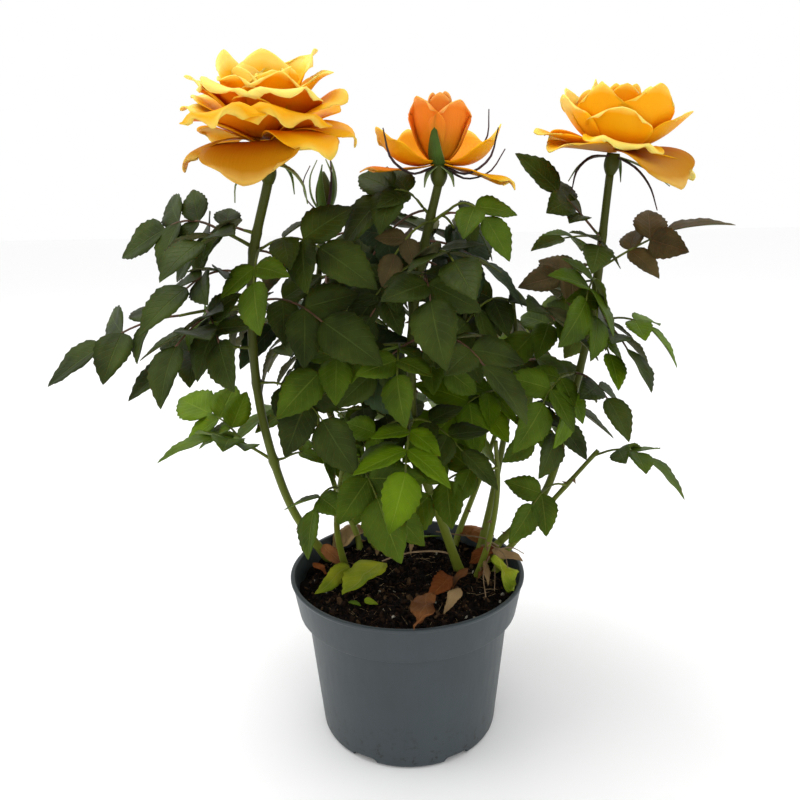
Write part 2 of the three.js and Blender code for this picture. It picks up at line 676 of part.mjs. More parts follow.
// Everything that is built so far, so that a leaflet that would meet it can be skipped.
class Built {
  pieces = [];

  add(owner, solid, isLeaflet = false) {
    this.pieces.push({ owner, solid, isLeaflet, box: solid.boundingBox() });
  }

  // Whether a solid keeps off its own spray's other leaflets, and its guard off everything else.
  isFree(owner, solid, guard) {
    const { min, max } = guard.boundingBox();
    return this.pieces.every((piece) => {
      if ([0, 1, 2].some((i) => min[i] > piece.box.max[i] || piece.box.min[i] > max[i])) return true;
      if (piece.owner !== owner) return guard.intersect(piece.solid).isEmpty();
      return !piece.isLeaflet || solid.intersect(piece.solid).isEmpty();
    });
  }
}

const stemSolid = ({ stem, stops }, extra) =>
  limb(stem, (t) => extra + SHOOT.foot + (SHOOT.tip - SHOOT.foot) * t, 3, stops);
const stalkSolid = ({ stalk, stops }, extra) =>
  limb(stalk, (t) => extra + LEAF.stalkFoot + (LEAF.stalkTip - LEAF.stalkFoot) * t, 3, stops);

// A spray in one body, cut GAP clear of its cane. A leaf whose stalk would meet something is skipped,
// and so is a leaflet.
function buildSpray(name, spray, built) {
  const solids = [stemSolid(spray, 0).subtract(caneStem(spray.cane, GAP))];
  for (const leaf of spray.leaves) {
    const stalk = stalkSolid(leaf, 0);
    if (!built.isFree(name, stalk, stalkSolid(leaf, GAP))) continue;
    solids.push(stalk);
    built.add(name, stalk);
    for (const leaflet of leaf.leaflets) {
      const solid = leafletSolid(leaflet);
      if (!built.isFree(name, solid, leafletSolid(leaflet, GAP))) continue;
      solids.push(solid);
      built.add(name, solid, true);
    }
  }
  return fuse(solids);
}

// ---------------------------------------------------------------- the plant

const rose = new THREE.Group();
const built = new Built();

function put(name, solid, material) {
  rose.add(nodeFrom(name, solid, material));
  built.add(name, solid);
}

put('pot', buildPot(), MATERIALS.pot);
put('soil', buildSoil(), MATERIALS.soil);
for (const [name, cane] of Object.entries(CANES)) {
  const bloom = Object.values(BLOOMS).find((each) => each.cane === name);
  put(name, buildCane(cane, bloom?.lean), MATERIALS.cane);
}
for (const [name, bloom] of Object.entries(BLOOMS)) put(name, buildBloom(bloom), MATERIALS.petal);

// The canes mark their places every few millimetres; then every spray grows before any is built, so
// that each keeps clear of the other sprays' stems.
const marks = Object.values(CANES).flatMap((cane) => caneCurve(cane).getPoints(CANE.marks));
const sprays = SPRAYS.map((row, index) => growSpray(row, index, marks));
sprays.forEach((spray, index) => built.add('leaves_' + SPRAYS[index][0], stemSolid(spray, GAP)));
sprays.forEach((spray, index) => {
  const name = 'leaves_' + SPRAYS[index][0];
  rose.add(nodeFrom(name, buildSpray(name, spray, built), MATERIALS.leaf));
});

export default rose;
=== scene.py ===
# %% [markdown]
# # A potted rose bush
# A patio rose grows in a nursery pot: a few woody canes rise from rooted cuttings, each carries side
# shoots of pinnate leaves, and the tallest end in a bloom. The plant could be sculpted by hand, or made
# of scanned leaves. Here it is grown by a rule instead: a few numbers for each cane and shoot, and a
# seeded chance that turns and tilts every leaf. The same rule shaped the solids in the frame, so the
# fine plant that this file makes stands exactly where the plain one stood.

# %% Load the frame
import math

import bmesh
import bpy
import numpy as np
from mathutils import Matrix, Vector, noise


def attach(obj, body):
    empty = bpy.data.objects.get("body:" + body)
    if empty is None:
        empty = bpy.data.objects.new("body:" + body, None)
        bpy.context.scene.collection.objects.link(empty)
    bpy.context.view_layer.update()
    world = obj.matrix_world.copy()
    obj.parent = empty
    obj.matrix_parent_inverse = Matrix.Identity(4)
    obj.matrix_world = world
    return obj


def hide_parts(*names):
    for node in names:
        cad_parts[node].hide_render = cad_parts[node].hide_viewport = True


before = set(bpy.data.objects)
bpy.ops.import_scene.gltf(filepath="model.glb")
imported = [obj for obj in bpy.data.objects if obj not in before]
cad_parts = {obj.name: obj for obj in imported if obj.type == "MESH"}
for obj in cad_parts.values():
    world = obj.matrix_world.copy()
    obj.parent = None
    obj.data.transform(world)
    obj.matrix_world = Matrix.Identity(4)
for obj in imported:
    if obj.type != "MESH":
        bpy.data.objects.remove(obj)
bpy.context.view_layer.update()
MM = 0.001  # the sizes below are in millimetres, and every mesh is made in metres
print("frame:", len(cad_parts), "nodes")

# %% [markdown]
# ## Camera, floor and light
# A plant this small is looked at from close by and a little from above, so the picture has the strong
# perspective of a short lens. The light is that of a bright white room: two big soft panels over the
# plant and to its sides, white walls, and a pale floor that throws light back up.

# %% Camera
CAMERA = {"place": (-2.2, -354.0, 269.0), "pitch": 14.9, "roll": 1.0, "lens": 33.75}


def add_object(name, data):
    made = bpy.data.objects.new(name, data)
    bpy.context.scene.collection.objects.link(made)
    return made


camera = add_object("camera", bpy.data.cameras.new("camera"))
turned = Matrix.Rotation(math.radians(90 - CAMERA["pitch"]), 4, "X")
rolled = Matrix.Rotation(math.radians(-CAMERA["roll"]), 4, "Z")
camera.matrix_world = Matrix.Translation(Vector(CAMERA["place"]) * MM) @ turned @ rolled
camera.data.lens = CAMERA["lens"]
camera.data.sensor_width = 36
camera.data.clip_start = 0.01
bpy.context.scene.camera = camera
print("camera at", [round(c, 3) for c in camera.location])

# %% Floor and light
PLANT_MIDDLE = Vector((0, 0, 0.2))


def area_light(name, place, size, power):
    light = bpy.data.lights.new(name, "AREA")
    light.shape = "DISK"
    light.size = size
    light.energy = power
    lamp = add_object(name, light)
    lamp.location = place
    lamp.rotation_euler = (PLANT_MIDDLE - Vector(place)).to_track_quat("-Z", "Y").to_euler()


floor_white = bpy.data.materials.new("floor_white")
floor_white.use_nodes = True
paint_sockets = floor_white.node_tree.nodes["Principled BSDF"].inputs
paint_sockets["Base Color"].default_value = (0.97, 0.97, 0.97, 1)
paint_sockets["Roughness"].default_value = 0.9
floor_shape = bmesh.new()
bmesh.ops.create_grid(floor_shape, x_segments=1, y_segments=1, size=6)
floor_mesh = bpy.data.meshes.new("floor")
floor_shape.to_mesh(floor_mesh)
floor_mesh.materials.append(floor_white)
floor = add_object("floor", floor_mesh)

area_light("sky_panel", (-0.4, 0.1, 1.3), 1.0, 8)
area_light("left_panel", (-1.3, -0.5, 0.6), 0.9, 1.5)
area_light("right_panel", (1.3, -0.2, 0.7), 0.9, 1.5)
bpy.context.scene.view_settings.view_transform = "Standard"
world = bpy.data.worlds.new("white_room")
bpy.context.scene.world = world
world.use_nodes = True
world.node_tree.nodes["Background"].inputs["Color"].default_value = (1, 1, 1, 1)
world.node_tree.nodes["Background"].inputs["Strength"].default_value = 1.0

# %% [markdown]
# ## Directions, curves and chance
# The growth rule needs a few small tools: unit directions, the smooth curve through a cane's points,
# the bent line of a drooping stalk, and numbers that look random but come out the same each time.

# %% Directions and chance
UP = np.array([0.0, 0.0, 1.0])
FRONT = np.array([0.0, -1.0, 0.0])


def unit(v):
    return v / np.linalg.norm(v)


def axes(first, second):
    along = unit(first)
    return along, unit(second - along * np.dot(second, along))


def direction(azimuth, rise):
    a, r = math.radians(azimuth), math.radians(rise)
    return np.array([math.cos(a) * math.cos(r), math.sin(a) * math.cos(r), math.sin(r)])


def seeded(seed):
    state = seed

    def number():
        nonlocal state
        state = state * 48271 % 2147483647
        return state / 2147483647

    return number


# %% Curves
class Curve:
    """A curve from t = 0 to 1, with the way it runs at each place."""

    def tangent(self, t):
        low, high = max(0.0, t - 1e-4), min(1.0, t + 1e-4)
        return unit(self.point(high) - self.point(low))


class Smooth(Curve):
    """A smooth curve through points, an even share of it between each two."""

    def __init__(self, points):
        p = [np.array(q, float) for q in points]
        self.points = [2 * p[0] - p[1], *p, 2 * p[-1] - p[-2]]

    def point(self, t):
        spans = len(self.points) - 3
        span = min(int(t * spans), spans - 1)
        w = t * spans - span
        a, b, c, d = self.points[span:span + 4]
        leave, arrive = (c - a) / 2, (d - b) / 2
        bend = -3 * b + 3 * c - 2 * leave - arrive
        return b + leave * w + bend * w**2 + (2 * b - 2 * c + leave + arrive) * w**3


class Drooping(Curve):
    """A stalk or a shoot: it leaves its foot in one direction and droops."""

    def __init__(self, foot, way, length, droop):
        self.ends = [foot, foot + way * (length / 2), foot + way * length - UP * (droop * length)]

    def point(self, t):
        a, b, c = self.ends
        return (1 - t) ** 2 * a + 2 * (1 - t) * t * b + t * t * c


# %% [markdown]
# ## The canes
# Each cane is a curve through a few points, from the compost to its tip, and tapers from its foot. The
# numbers are those of the frame's solids, so that blooms and leaves meet them where they should.

# %% Where the canes run
GAP = 0.3  # between a bloom and its hip
ALMOST = 0.985  # where the last leaf or leaflet leaves its stalk
CANE_START = 77.5  # the canes are cut off just under the top of the compost
CANES = {
    "cane_left": {
        "through": [
            (-41, 25, 74), (-60, 15, 112), (-69, 2, 158), (-70, -11, 201), (-66, -20, 243), (-55, -31, 278),
        ],
        "foot": 2.2, "tip": 2.0, "hip": 3.6,
    },
    "cane_centre": {
        "through": [(29, 11, 74), (20, 5, 103), (5, -4, 154), (4, -12, 210), (9, -17, 246), (16, -20, 276)],
        "foot": 2.5, "tip": 1.9, "hip": 3.7,
    },
    "cane_right": {
        "through": [
            (43, 20, 74), (49, 21, 86), (64, 23, 101), (77, 20, 124), (86, 13, 175), (92, 8, 217),
            (95, 1, 280),
        ],
        "foot": 2.3, "tip": 1.8, "hip": 3.5,
    },
    "cane_bud": {
        "through": [(-16, 38, 74), (-29, 36, 120), (-45, 29, 185), (-43, 25, 222), (-37, 20, 262)],
        "foot": 2.0, "tip": 1.3, "bud": 4.2,
    },
    "cane_low_right": {
        "through": [(46, 8, 74), (51, 9, 86), (64, 12, 100), (84, 17, 121), (101, 18, 141)],
        "foot": 1.9, "tip": 1.0,
    },
    "cane_inner_right": {
        "through": [(40, 30, 74), (48, 33, 110), (54, 30, 150), (58, 26, 192), (54, 20, 226)],
        "foot": 2.1, "tip": 1.1,
    },
    "cane_front_left": {
        "through": [(-33, 17, 74), (-36, 4, 105), (-32, -10, 136), (-26, -18, 165)],
        "foot": 1.9, "tip": 1.0,
    },
    "cane_front_right": {
        "through": [(36, 4, 74), (42, -6, 104), (44, -16, 134), (42, -22, 160)],
        "foot": 1.8, "tip": 1.0,
    },
    "cane_back_left": {
        "through": [(-26, 37, 74), (-29, 43, 86), (-42, 56, 112), (-52, 68, 156), (-52, 72, 200)],
        "foot": 2.0, "tip": 1.0,
    },
    "cane_back": {
        "through": [(8, 42, 74), (8, 56, 118), (6, 64, 168), (4, 62, 222)],
        "foot": 2.1, "tip": 1.0,
    },
    "cane_back_right": {
        "through": [(27, 38, 74), (31, 43, 86), (44, 58, 112), (60, 70, 154), (72, 72, 194)],
        "foot": 2.0, "tip": 1.0,
    },
}
CANE_MARKS = 24
CANE_CURVES = {name: Smooth(cane["through"]) for name, cane in CANES.items()}


def cane_radius(cane, t):
    return cane["foot"] + (cane["tip"] - cane["foot"]) * t + 0.8 * math.exp(-t / 0.05)


def share_at_height(curve, height):
    low, high = 0.0, 1.0
    for _ in range(24):
        middle = (low + high) / 2
        if curve.point(middle)[2] < height:
            low = middle
        else:
            high = middle
    return (low + high) / 2


print("canes:", len(CANES))

# %% [markdown]
# ## How a spray grows
# A rose leaf is pinnate: a drooping stalk with pairs of leaflets and one more at its tip. Every leaf
# takes the freest of a few directions, as real ones do when they look for light, so the crown fills
# without leaves that cut through each other. The first leaves of each shoot are the ones that the
# frame's solids have. Young leaves then fill in between them, within the same reach.

# %% Numbers of the growth rule
SPRAYS = {
    # name, height, azimuth, rise, droop, reach, leaves
    "cane_left": [
        ("left_top", 250, 184, 34, 0.5, 76, 2),
        ("left_shoulder", 238, 228, 20, 0.5, 58, 1),
        ("left_high_front", 256, -156, 24, 0.6, 56, 1),
        ("left_inside", 248, -20, 30, 0.5, 66, 1),
        ("left_far", 224, 187, 0, 0.3, 100, 2),
        ("left_middle", 204, 204, 14, 0.4, 60, 1),
        ("left_front", 226, -24, 12, 0.5, 68, 1),
        ("left_back", 222, 122, 14, 0.4, 80, 1),
        ("left_low", 142, 186, 40, 0.3, 84, 2),
        ("left_low_front", 186, -16, 12, 0.6, 70, 1),
        ("left_hanging", 142, -10, 24, 0.6, 56, 1),
    ],
    "cane_bud": [
        ("bud_top", 250, -30, 26, 0.5, 62, 1),
        ("bud_right", 232, -34, 16, 0.4, 74, 2),
        ("bud_middle", 204, -54, 12, 0.5, 84, 2),
        ("bud_low", 162, -60, 16, 0.5, 84, 1),
        ("bud_back", 222, 100, 14, 0.4, 76, 1),
    ],
    "cane_centre": [
        ("centre_top_left", 262, 196, 52, 0.7, 64, 1),
        ("centre_top_right", 258, -40, 36, 0.7, 58, 2),
        ("centre_high_right", 242, -24, 28, 0.5, 64, 1),
        ("centre_high_back", 250, 88, 26, 0.4, 74, 1),
        ("centre_front", 236, -80, 18, 0.6, 64, 1),
        ("centre_left", 204, 210, 12, 0.5, 74, 2),
        ("centre_right", 208, -50, 12, 0.5, 78, 2),
        ("centre_low", 168, -92, 12, 0.6, 76, 2),
    ],
    "cane_right": [
        ("right_top", 250, 196, 46, 0.1, 58, 1),
        ("right_far", 236, -4, 36, 0.1, 62, 1),
        ("right_front", 230, -108, 16, 0.5, 62, 1),
        ("right_side", 208, -26, 30, 0.5, 52, 1),
        ("right_back", 214, 84, 12, 0.4, 76, 1),
        ("right_middle", 184, -122, 14, 0.5, 68, 2),
        ("right_low", 162, -110, 20, 0.5, 56, 1),
    ],
    "cane_inner_right": [
        ("inner_right_top", 218, -110, 20, 0.5, 84, 2),
        ("inner_right_low", 172, -110, 16, 0.5, 84, 2),
        ("inner_right_back", 184, 66, 14, 0.4, 76, 1),
    ],
    "cane_low_right": [
        ("low_right_far", 138, -24, 30, 0.5, 56, 1),
        ("low_right_front", 122, -134, 28, 0.6, 54, 1),
    ],
    "cane_front_left": [
        ("front_left_top", 150, -60, 20, 0.6, 70, 1),
        ("front_left_low", 132, -96, 34, 0.6, 54, 1),
    ],
    "cane_front_right": [
        ("front_right_top", 146, -120, 16, 0.6, 66, 1),
    ],
    "cane_back_left": [
        ("back_left_top", 194, 130, 26, 0.4, 84, 2),
        ("back_left_low", 146, 158, 14, 0.4, 78, 1),
    ],
    "cane_back": [
        ("back_top", 214, 84, 32, 0.4, 84, 2),
        ("back_low", 150, 76, 12, 0.4, 78, 1),
    ],
    "cane_back_right": [
        ("back_right_top", 188, 46, 26, 0.4, 84, 2),
    ],
}
SHOOT = {"foot": 0.95, "tip": 0.62, "droop": 0.1, "shortest": 4, "spread": 62, "lower": 0.88}
SEEDS = {"first": 977, "step": 41, "fill": 7001}
NEAR_AXIS = 20  # within this of the pot's axis, leaves face less and less outward
LEAF = {
    "length": 70, "stalk_share": 0.52, "stalk_foot": 0.62, "stalk_tip": 0.44, "outward": 1, "frontward": 0.5,
    "pairs": [(0.36, 0.76), (0.72, 0.94)], "simple": 51, "terminal": 1.14, "leaflet": 0.42, "angle": 62,
}
VARIETY = {"azimuth": 10, "rise": 8, "yaw": 18, "tilt": 64, "dip": 0.36, "length": 0.16, "curl": 1.6}
LEAFLET = {"width": 0.72, "fold": 0.22, "curl": 0.12, "least_curl": 0.4, "thickness": 0.28}
CROWDING = {"turns": (0, 15, -15, 30, -30, 45, -45), "reach": 15, "ease": 0.004}


# %% One leaf
def facing(foot):
    flat = np.array([foot[0], foot[1], 0.0])
    outward = flat * (LEAF["outward"] / (NEAR_AXIS + np.linalg.norm(flat)))
    return outward + FRONT * LEAF["frontward"] + UP


def leaf_at(foot, azimuth, rise, droop, length, seed):
    chance = seeded(seed)

    def vary(amount, balance=0.5):
        return amount * (chance() - balance)

    way = direction(azimuth + vary(VARIETY["azimuth"]), rise + vary(VARIETY["rise"]))
    stalk = Drooping(foot, way, length * LEAF["stalk_share"], droop)
    leaflets = []

    def add(t, size, angle):
        along, upper = axes(stalk.tangent(t), facing(foot))
        side = np.cross(along, upper)
        yaw = math.radians(angle + vary(VARIETY["yaw"]))
        dip = vary(VARIETY["dip"], 0.55)
        out = along * math.cos(yaw) + side * math.sin(yaw)
        ahead, face = axes(out + upper * dip, upper)
        tilt = math.radians(vary(VARIETY["tilt"]))
        across = np.cross(ahead, face)
        leaflets.append({
            "foot": stalk.point(t), "along": ahead,
            "side": across * math.cos(tilt) + face * math.sin(tilt),
            "upper": face * math.cos(tilt) - across * math.sin(tilt),
            "length": LEAF["leaflet"] * size * length * (1 + vary(VARIETY["length"])),
            "curl": LEAFLET["curl"] * (LEAFLET["least_curl"] + VARIETY["curl"] * chance()),
        })

    pairs = LEAF["pairs"][1:] if length < LEAF["simple"] else LEAF["pairs"]
    for t, size in pairs:
        add(t, size, LEAF["angle"])
        add(t, size, -LEAF["angle"])
    add(ALMOST, LEAF["terminal"], 0)
    return {"stalk": stalk, "leaflets": leaflets, "length": length}


def leaflet_middle(leaflet):
    drop = leaflet["upper"] * (leaflet["curl"] * 0.25)
    return leaflet["foot"] + (leaflet["along"] * 0.5 - drop) * leaflet["length"]


# %% One spray
def grow_leaf(foot, azimuth, rise, droop, length, seed, marks):
    best = None
    felt = np.array(marks)
    for turn in CROWDING["turns"]:
        leaf = leaf_at(foot, azimuth + turn, rise, droop, length, seed)
        middles = np.array([leaflet_middle(leaflet) for leaflet in leaf["leaflets"]])
        far = np.linalg.norm(middles[:, None] - felt[None], axis=2)
        cost = (np.maximum(0, 1 - far / CROWDING["reach"]) ** 2).sum() + CROWDING["ease"] * abs(turn)
        if best is None or cost < best[0]:
            best = (cost, leaf, middles)
    marks.extend(best[2])
    return best[1]


def grow_spray(cane_name, row, index, marks):
    name, height, azimuth, rise, droop, reach, leaves = row
    cane, curve = CANES[cane_name], CANE_CURVES[cane_name]
    t = share_at_height(curve, height)
    last = min(LEAF["length"], reach * (0.8 if leaves > 1 else 0.94))
    length = cane_radius(cane, t) + max(SHOOT["shortest"], reach - last)
    stem = Drooping(curve.point(t), direction(azimuth, rise), length, SHOOT["droop"])
    grown = []
    for i in range(leaves):
        is_tip = i == leaves - 1
        share = ALMOST if is_tip else (i + 0.8) / leaves
        aside = 0 if is_tip else (-1 if i % 2 else 1) * SHOOT["spread"]
        size = last * (1 if is_tip else SHOOT["lower"])
        seed = SEEDS["first"] + SEEDS["step"] * index + i
        grown.append(grow_leaf(stem.point(share), azimuth + aside, rise, droop, size, seed, marks))
    return {
        "name": "leaves_" + name, "short": name, "cane": cane_name, "stem": stem, "azimuth": azimuth,
        "droop": droop, "last": last, "leaves": grown,
    }


marks = [CANE_CURVES[name].point(i / CANE_MARKS) for name in CANES for i in range(CANE_MARKS + 1)]
spray_rows = [(cane, row) for cane in SPRAYS for row in SPRAYS[cane]]
sprays = [grow_spray(cane, row, index, marks) for index, (cane, row) in enumerate(spray_rows)]
print("sprays:", len(sprays), "leaves:", sum(len(s["leaves"]) for s in sprays))

# %% Young leaves between them
FILL = {
    "lowest": 150, "size": 0.78, "rise": -2, "along": ["cane_left"],
    # sprays whose young leaves would stand before the bare left cane
    "bare": ["left_top", "left_shoulder", "left_high_front", "left_middle", "left_front", "left_low_front"],
    # share of the stem, turn from the way to the crown's middle
    "young": [(0.3, 52), (0.62, -64)],
}


def inward(foot):
    return math.degrees(math.atan2(-foot[1], -foot[0]))


def fill_spray(spray, index):
    for i, (share, turn) in enumerate(FILL["young"]):
        foot = spray["stem"].point(share)
        if foot[2] < FILL["lowest"] or spray["short"] in FILL["bare"]:
            continue
        way = spray["azimuth"] if spray["cane"] in FILL["along"] else inward(foot)
        azimuth = way + (turn if index % 2 else -turn)
        seed = SEEDS["fill"] + SEEDS["step"] * index + i
        size = spray["last"] * FILL["size"]
        spray["leaves"].append(grow_leaf(foot, azimuth, FILL["rise"], spray["droop"], size, seed, marks))


for index, spray in enumerate(sprays):
    fill_spray(spray, index)
print("with young leaves:", sum(len(s["leaves"]) for s in sprays))

# %% [markdown]
# ## Meshes from arrays
# Hundreds of leaflets are too many to model one by one. One small sheet is made with mesh operators: a
# grid that is solidified into a thin closed plate. Its corners are then read once, and placed for
# every leaflet by arrays, which takes no time. Petals, stalks and crumbs are made in the same way.

# %% Templates
def read_template(shape):
    shape.verts.ensure_lookup_table()
    corners = np.array([v.co[:] for v in shape.verts])
    faces = np.array([[v.index for v in f.verts] for f in shape.faces])
    shape.free()
    return corners, faces


def sheet_template(along, across):
    """A plate: u runs from 0 to 1 along it, v from -1 to 1 across it, and its layer is 1 above, 0 below."""
    grid = bmesh.new()
    bmesh.ops.create_grid(grid, x_segments=along, y_segments=across, size=1)
    bmesh.ops.solidify(grid, geom=grid.faces[:], thickness=1)
    bmesh.ops.recalc_face_normals(grid, faces=grid.faces[:])
    corners, faces = read_template(grid)
    layer = (corners[:, 2] > corners[:, 2].max() - 0.5).astype(float)
    u = np.round((corners[:, 0] + 1) / 2 * along) / along
    v = np.round((corners[:, 1] + 1) / 2 * across) / across * 2 - 1
    low, high = layer[faces].min(1), layer[faces].max(1)
    return {
        "u": u, "v": v, "uv": np.stack([u, v], axis=1), "layer": layer, "faces": faces,
        "under": high < 0.5, "flat": low < high,
    }


class Joined:
    """Many small shapes of one kind, joined in one mesh."""

    def __init__(self):
        self.points, self.faces, self.uvs, self.slots, self.flat = [], [], [], [], []
        self.count = 0

    def add(self, points, template, slots=0):
        faces = template["faces"]
        self.points.append(points)
        self.faces.append(faces + self.count)
        self.uvs.append(template["uv"][faces])
        self.slots.append(np.broadcast_to(slots, len(faces)))
        self.flat.append(np.broadcast_to(template["flat"], len(faces)))
        self.count += len(points)

    def piece(self, name, materials, slot):
        points = np.concatenate(self.points) * MM
        faces = np.concatenate(self.faces)
        mesh = bpy.data.meshes.new(name)
        mesh.vertices.add(len(points))
        mesh.vertices.foreach_set("co", points.ravel())
        mesh.loops.add(faces.size)
        mesh.loops.foreach_set("vertex_index", faces.ravel())
        mesh.polygons.add(len(faces))
        mesh.polygons.foreach_set("loop_start", np.arange(0, faces.size, faces.shape[1]))
        mesh.polygons.foreach_set("material_index", np.concatenate(self.slots))
        mesh.uv_layers.new(name="UVMap").data.foreach_set("uv", np.concatenate(self.uvs).ravel())
        mesh.update(calc_edges=True)
        mesh.shade_smooth()
        mesh.polygons.foreach_set("use_smooth", ~np.concatenate(self.flat))
        for material in materials:
            mesh.materials.append(material)
        piece = add_object(name, mesh)
        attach(piece, "root")
        triangles = sum(len(f) * (f.shape[1] - 2) for f in self.faces)
        print(name, "-", triangles, "triangles")
        return piece


def sheet_normals(grid):
    """The way that a grid of points faces, for points of shape (along, across, 3)."""
    along = np.gradient(grid, axis=0)
    across = np.gradient(grid, axis=1)
    normal = np.cross(along, across)
    return normal / np.maximum(np.linalg.norm(normal, axis=2, keepdims=True), 1e-9)


def tube_template(sides, rings):
    """A closed tube: t runs from 0 to 1 along it, and angle round it."""
    rod = bmesh.new()
    bmesh.ops.create_cone(rod, cap_ends=True, segments=sides, radius1=1, radius2=1, depth=1)
    upright = [e for e in rod.edges if abs(e.verts[0].co.z - e.verts[1].co.z) > 0.5]
    bmesh.ops.subdivide_edges(rod, edges=upright, cuts=rings - 1, use_grid_fill=True)
    bmesh.ops.triangulate(rod, faces=rod.faces[:])
    bmesh.ops.recalc_face_normals(rod, faces=rod.faces[:])
    corners, faces = read_template(rod)
    t = np.round((corners[:, 2] + 0.5) * rings) / rings
    angle = np.arctan2(corners[:, 1], corners[:, 0])
    return {"t": t, "angle": angle, "uv": np.stack([t, t * 0], axis=1), "faces": faces, "flat": False}


def tube_points(tube, curve, radius_at):
    """A tube's corners along a curve, with the radius that radius_at gives for each t and angle."""
    points = np.zeros((len(tube["t"]), 3))
    for t in np.unique(tube["t"]):
        along, upper = axes(curve.tangent(t), UP if abs(curve.tangent(t)[2]) < 0.7 else FRONT)
        side = np.cross(upper, along)
        ring = tube["t"] == t
        angle = tube["angle"][ring][:, None]
        radius = np.array([radius_at(t, a) for a in angle[:, 0]])[:, None]
        points[ring] = curve.point(t) + radius * (side * np.cos(angle) + upper * np.sin(angle))
    return points


# %% [markdown]
# ## Materials
# Leaves, bark and petals have a skin of their own colour, with veins that follow each leaf. The veins
# are drawn from the leaf's own coordinates: u along its midrib and v across it. Light that passes
# through a petal is told by subsurface scattering.

# %% Helpers for node trees
class Paint:
    """A material whose nodes are added one by one."""

    def __init__(self, name, roughness=0.5, shine=0.2, **sockets):
        self.material = bpy.data.materials.new(name)
        self.material.use_nodes = True
        self.tree = self.material.node_tree
        self.shader = self.tree.nodes["Principled BSDF"]
        self.shader.inputs["Roughness"].default_value = roughness
        self.shader.inputs["Specular IOR Level"].default_value = shine
        for socket, value in sockets.items():
            self.shader.inputs[socket.replace("_", " ")].default_value = value

    def feed(self, socket, value):
        if isinstance(value, bpy.types.NodeSocket):
            self.tree.links.new(value, socket)
        else:
            socket.default_value = value

    def node(self, kind, settings=None, **inputs):
        made = self.tree.nodes.new("ShaderNode" + kind)
        for key, value in (settings or {}).items():
            setattr(made, key, value)
        for key, value in inputs.items():
            self.feed(made.inputs[int(key[1:]) if key[0] == "_" else key.replace("_", " ")], value)
        return made

    def math(self, operation, a, b=0.0, c=0.0):
        return self.node("Math", {"operation": operation}, _0=a, _1=b, _2=c).outputs[0]

    def object_place(self):
        return self.node("TexCoord").outputs["Object"]

    def height_share(self, low, high):
        height = self.node("SeparateXYZ", Vector=self.object_place()).outputs["Z"]
        return self.node("MapRange", Value=height, _1=low, _2=high).outputs[0]

    def leaf_place(self):
        split = self.node("SeparateXYZ", Vector=self.node("TexCoord").outputs["UV"])
        return split.outputs["X"], split.outputs["Y"]

    def noise(self, scale, detail=3.0, roughness=0.5, place=None):
        return self.node(
            "TexNoise", Vector=place or self.object_place(), Scale=scale, Detail=detail, Roughness=roughness,
        ).outputs["Fac"]

    def ramp(self, value, *stops):
        made = self.node("ValToRGB", Fac=value)
        elements = made.color_ramp.elements
        while len(elements) < len(stops):
            elements.new(0.5)
        for element, (place, code) in zip(elements, stops):
            element.position = place
            element.color = (*srgb(code), 1)
        return made.outputs["Color"]

    def mix(self, share, a, b, blend="MIX"):
        made = self.node("Mix", {"data_type": "RGBA", "blend_type": blend})
        for socket, value in ((made.inputs[0], share), (made.inputs[6], a), (made.inputs[7], b)):
            self.feed(socket, (*srgb(value), 1) if isinstance(value, int) else value)
        return made.outputs[2]

    def color(self, socket):
        self.tree.links.new(socket, self.shader.inputs["Base Color"])

    def rough(self, value, low, high):
        spread = self.node("MapRange", Value=value, _3=low, _4=high)
        self.tree.links.new(spread.outputs[0], self.shader.inputs["Roughness"])

    def bump(self, height, distance, strength=1.0):
        made = self.node("Bump", Height=height, Distance=distance, Strength=strength)
        self.tree.links.new(made.outputs["Normal"], self.shader.inputs["Normal"])


def srgb(code):
    """A colour such as 0x47525A, as the linear values that a shader takes."""
    parts = [(code >> shift & 255) / 255 for shift in (16, 8, 0)]
    return tuple(c / 12.92 if c <= 0.04045 else ((c + 0.055) / 1.055) ** 2.4 for c in parts)


# %% [markdown]
# ## Leaf skins
# The upper face of a rose leaf is smooth and half glossy, with sunken veins that run from the midrib to
# the teeth. Old leaves high up are a dark bluish green, those lower down are a fresh yellow-green, and
# young ones by the blooms are still reddish. The under face is dull and greyish, with raised veins.

# %% Leaf materials
VEINS = {"pairs": 8.0, "slant": 2.2, "shown": 0.26}


def leaf_veins(paint):
    u, v = paint.leaf_place()
    off = paint.math("ABSOLUTE", v)
    midrib = paint.node("MapRange", Value=off, _1=0.015, _2=0.06, _3=1.0, _4=0.0).outputs[0]
    slant = paint.math("MULTIPLY", off, VEINS["slant"])
    phase = paint.math("SUBTRACT", paint.math("MULTIPLY", u, VEINS["pairs"]), slant)
    saw = paint.math("ABSOLUTE", paint.math("SUBTRACT", paint.math("FRACT", phase), 0.5))
    side = paint.node("MapRange", Value=saw, _1=0.0, _2=0.09, _3=0.5, _4=0.0).outputs[0]
    return paint.math("MAXIMUM", midrib, side)


def leaf_material(name, light, dark, vein, roughness=0.5, relief=-0.0004, scatter=0.03):
    paint = Paint(name, roughness, 0.1, Subsurface_Weight=scatter, Subsurface_Scale=0.002)
    veins = leaf_veins(paint)
    patches = paint.ramp(paint.noise(55.0, 4.0), (0.35, dark), (0.68, light))
    paint.color(paint.mix(paint.math("MULTIPLY", veins, VEINS["shown"]), patches, vein))
    cells = paint.noise(900.0, 2.0)
    ribs = paint.math("MULTIPLY", veins, relief / abs(relief))
    paint.bump(paint.math("ADD", ribs, paint.math("MULTIPLY", cells, 0.3)), abs(relief), 0.6)
    paint.rough(paint.noise(200.0), roughness - 0.08, roughness + 0.12)
    return paint.material


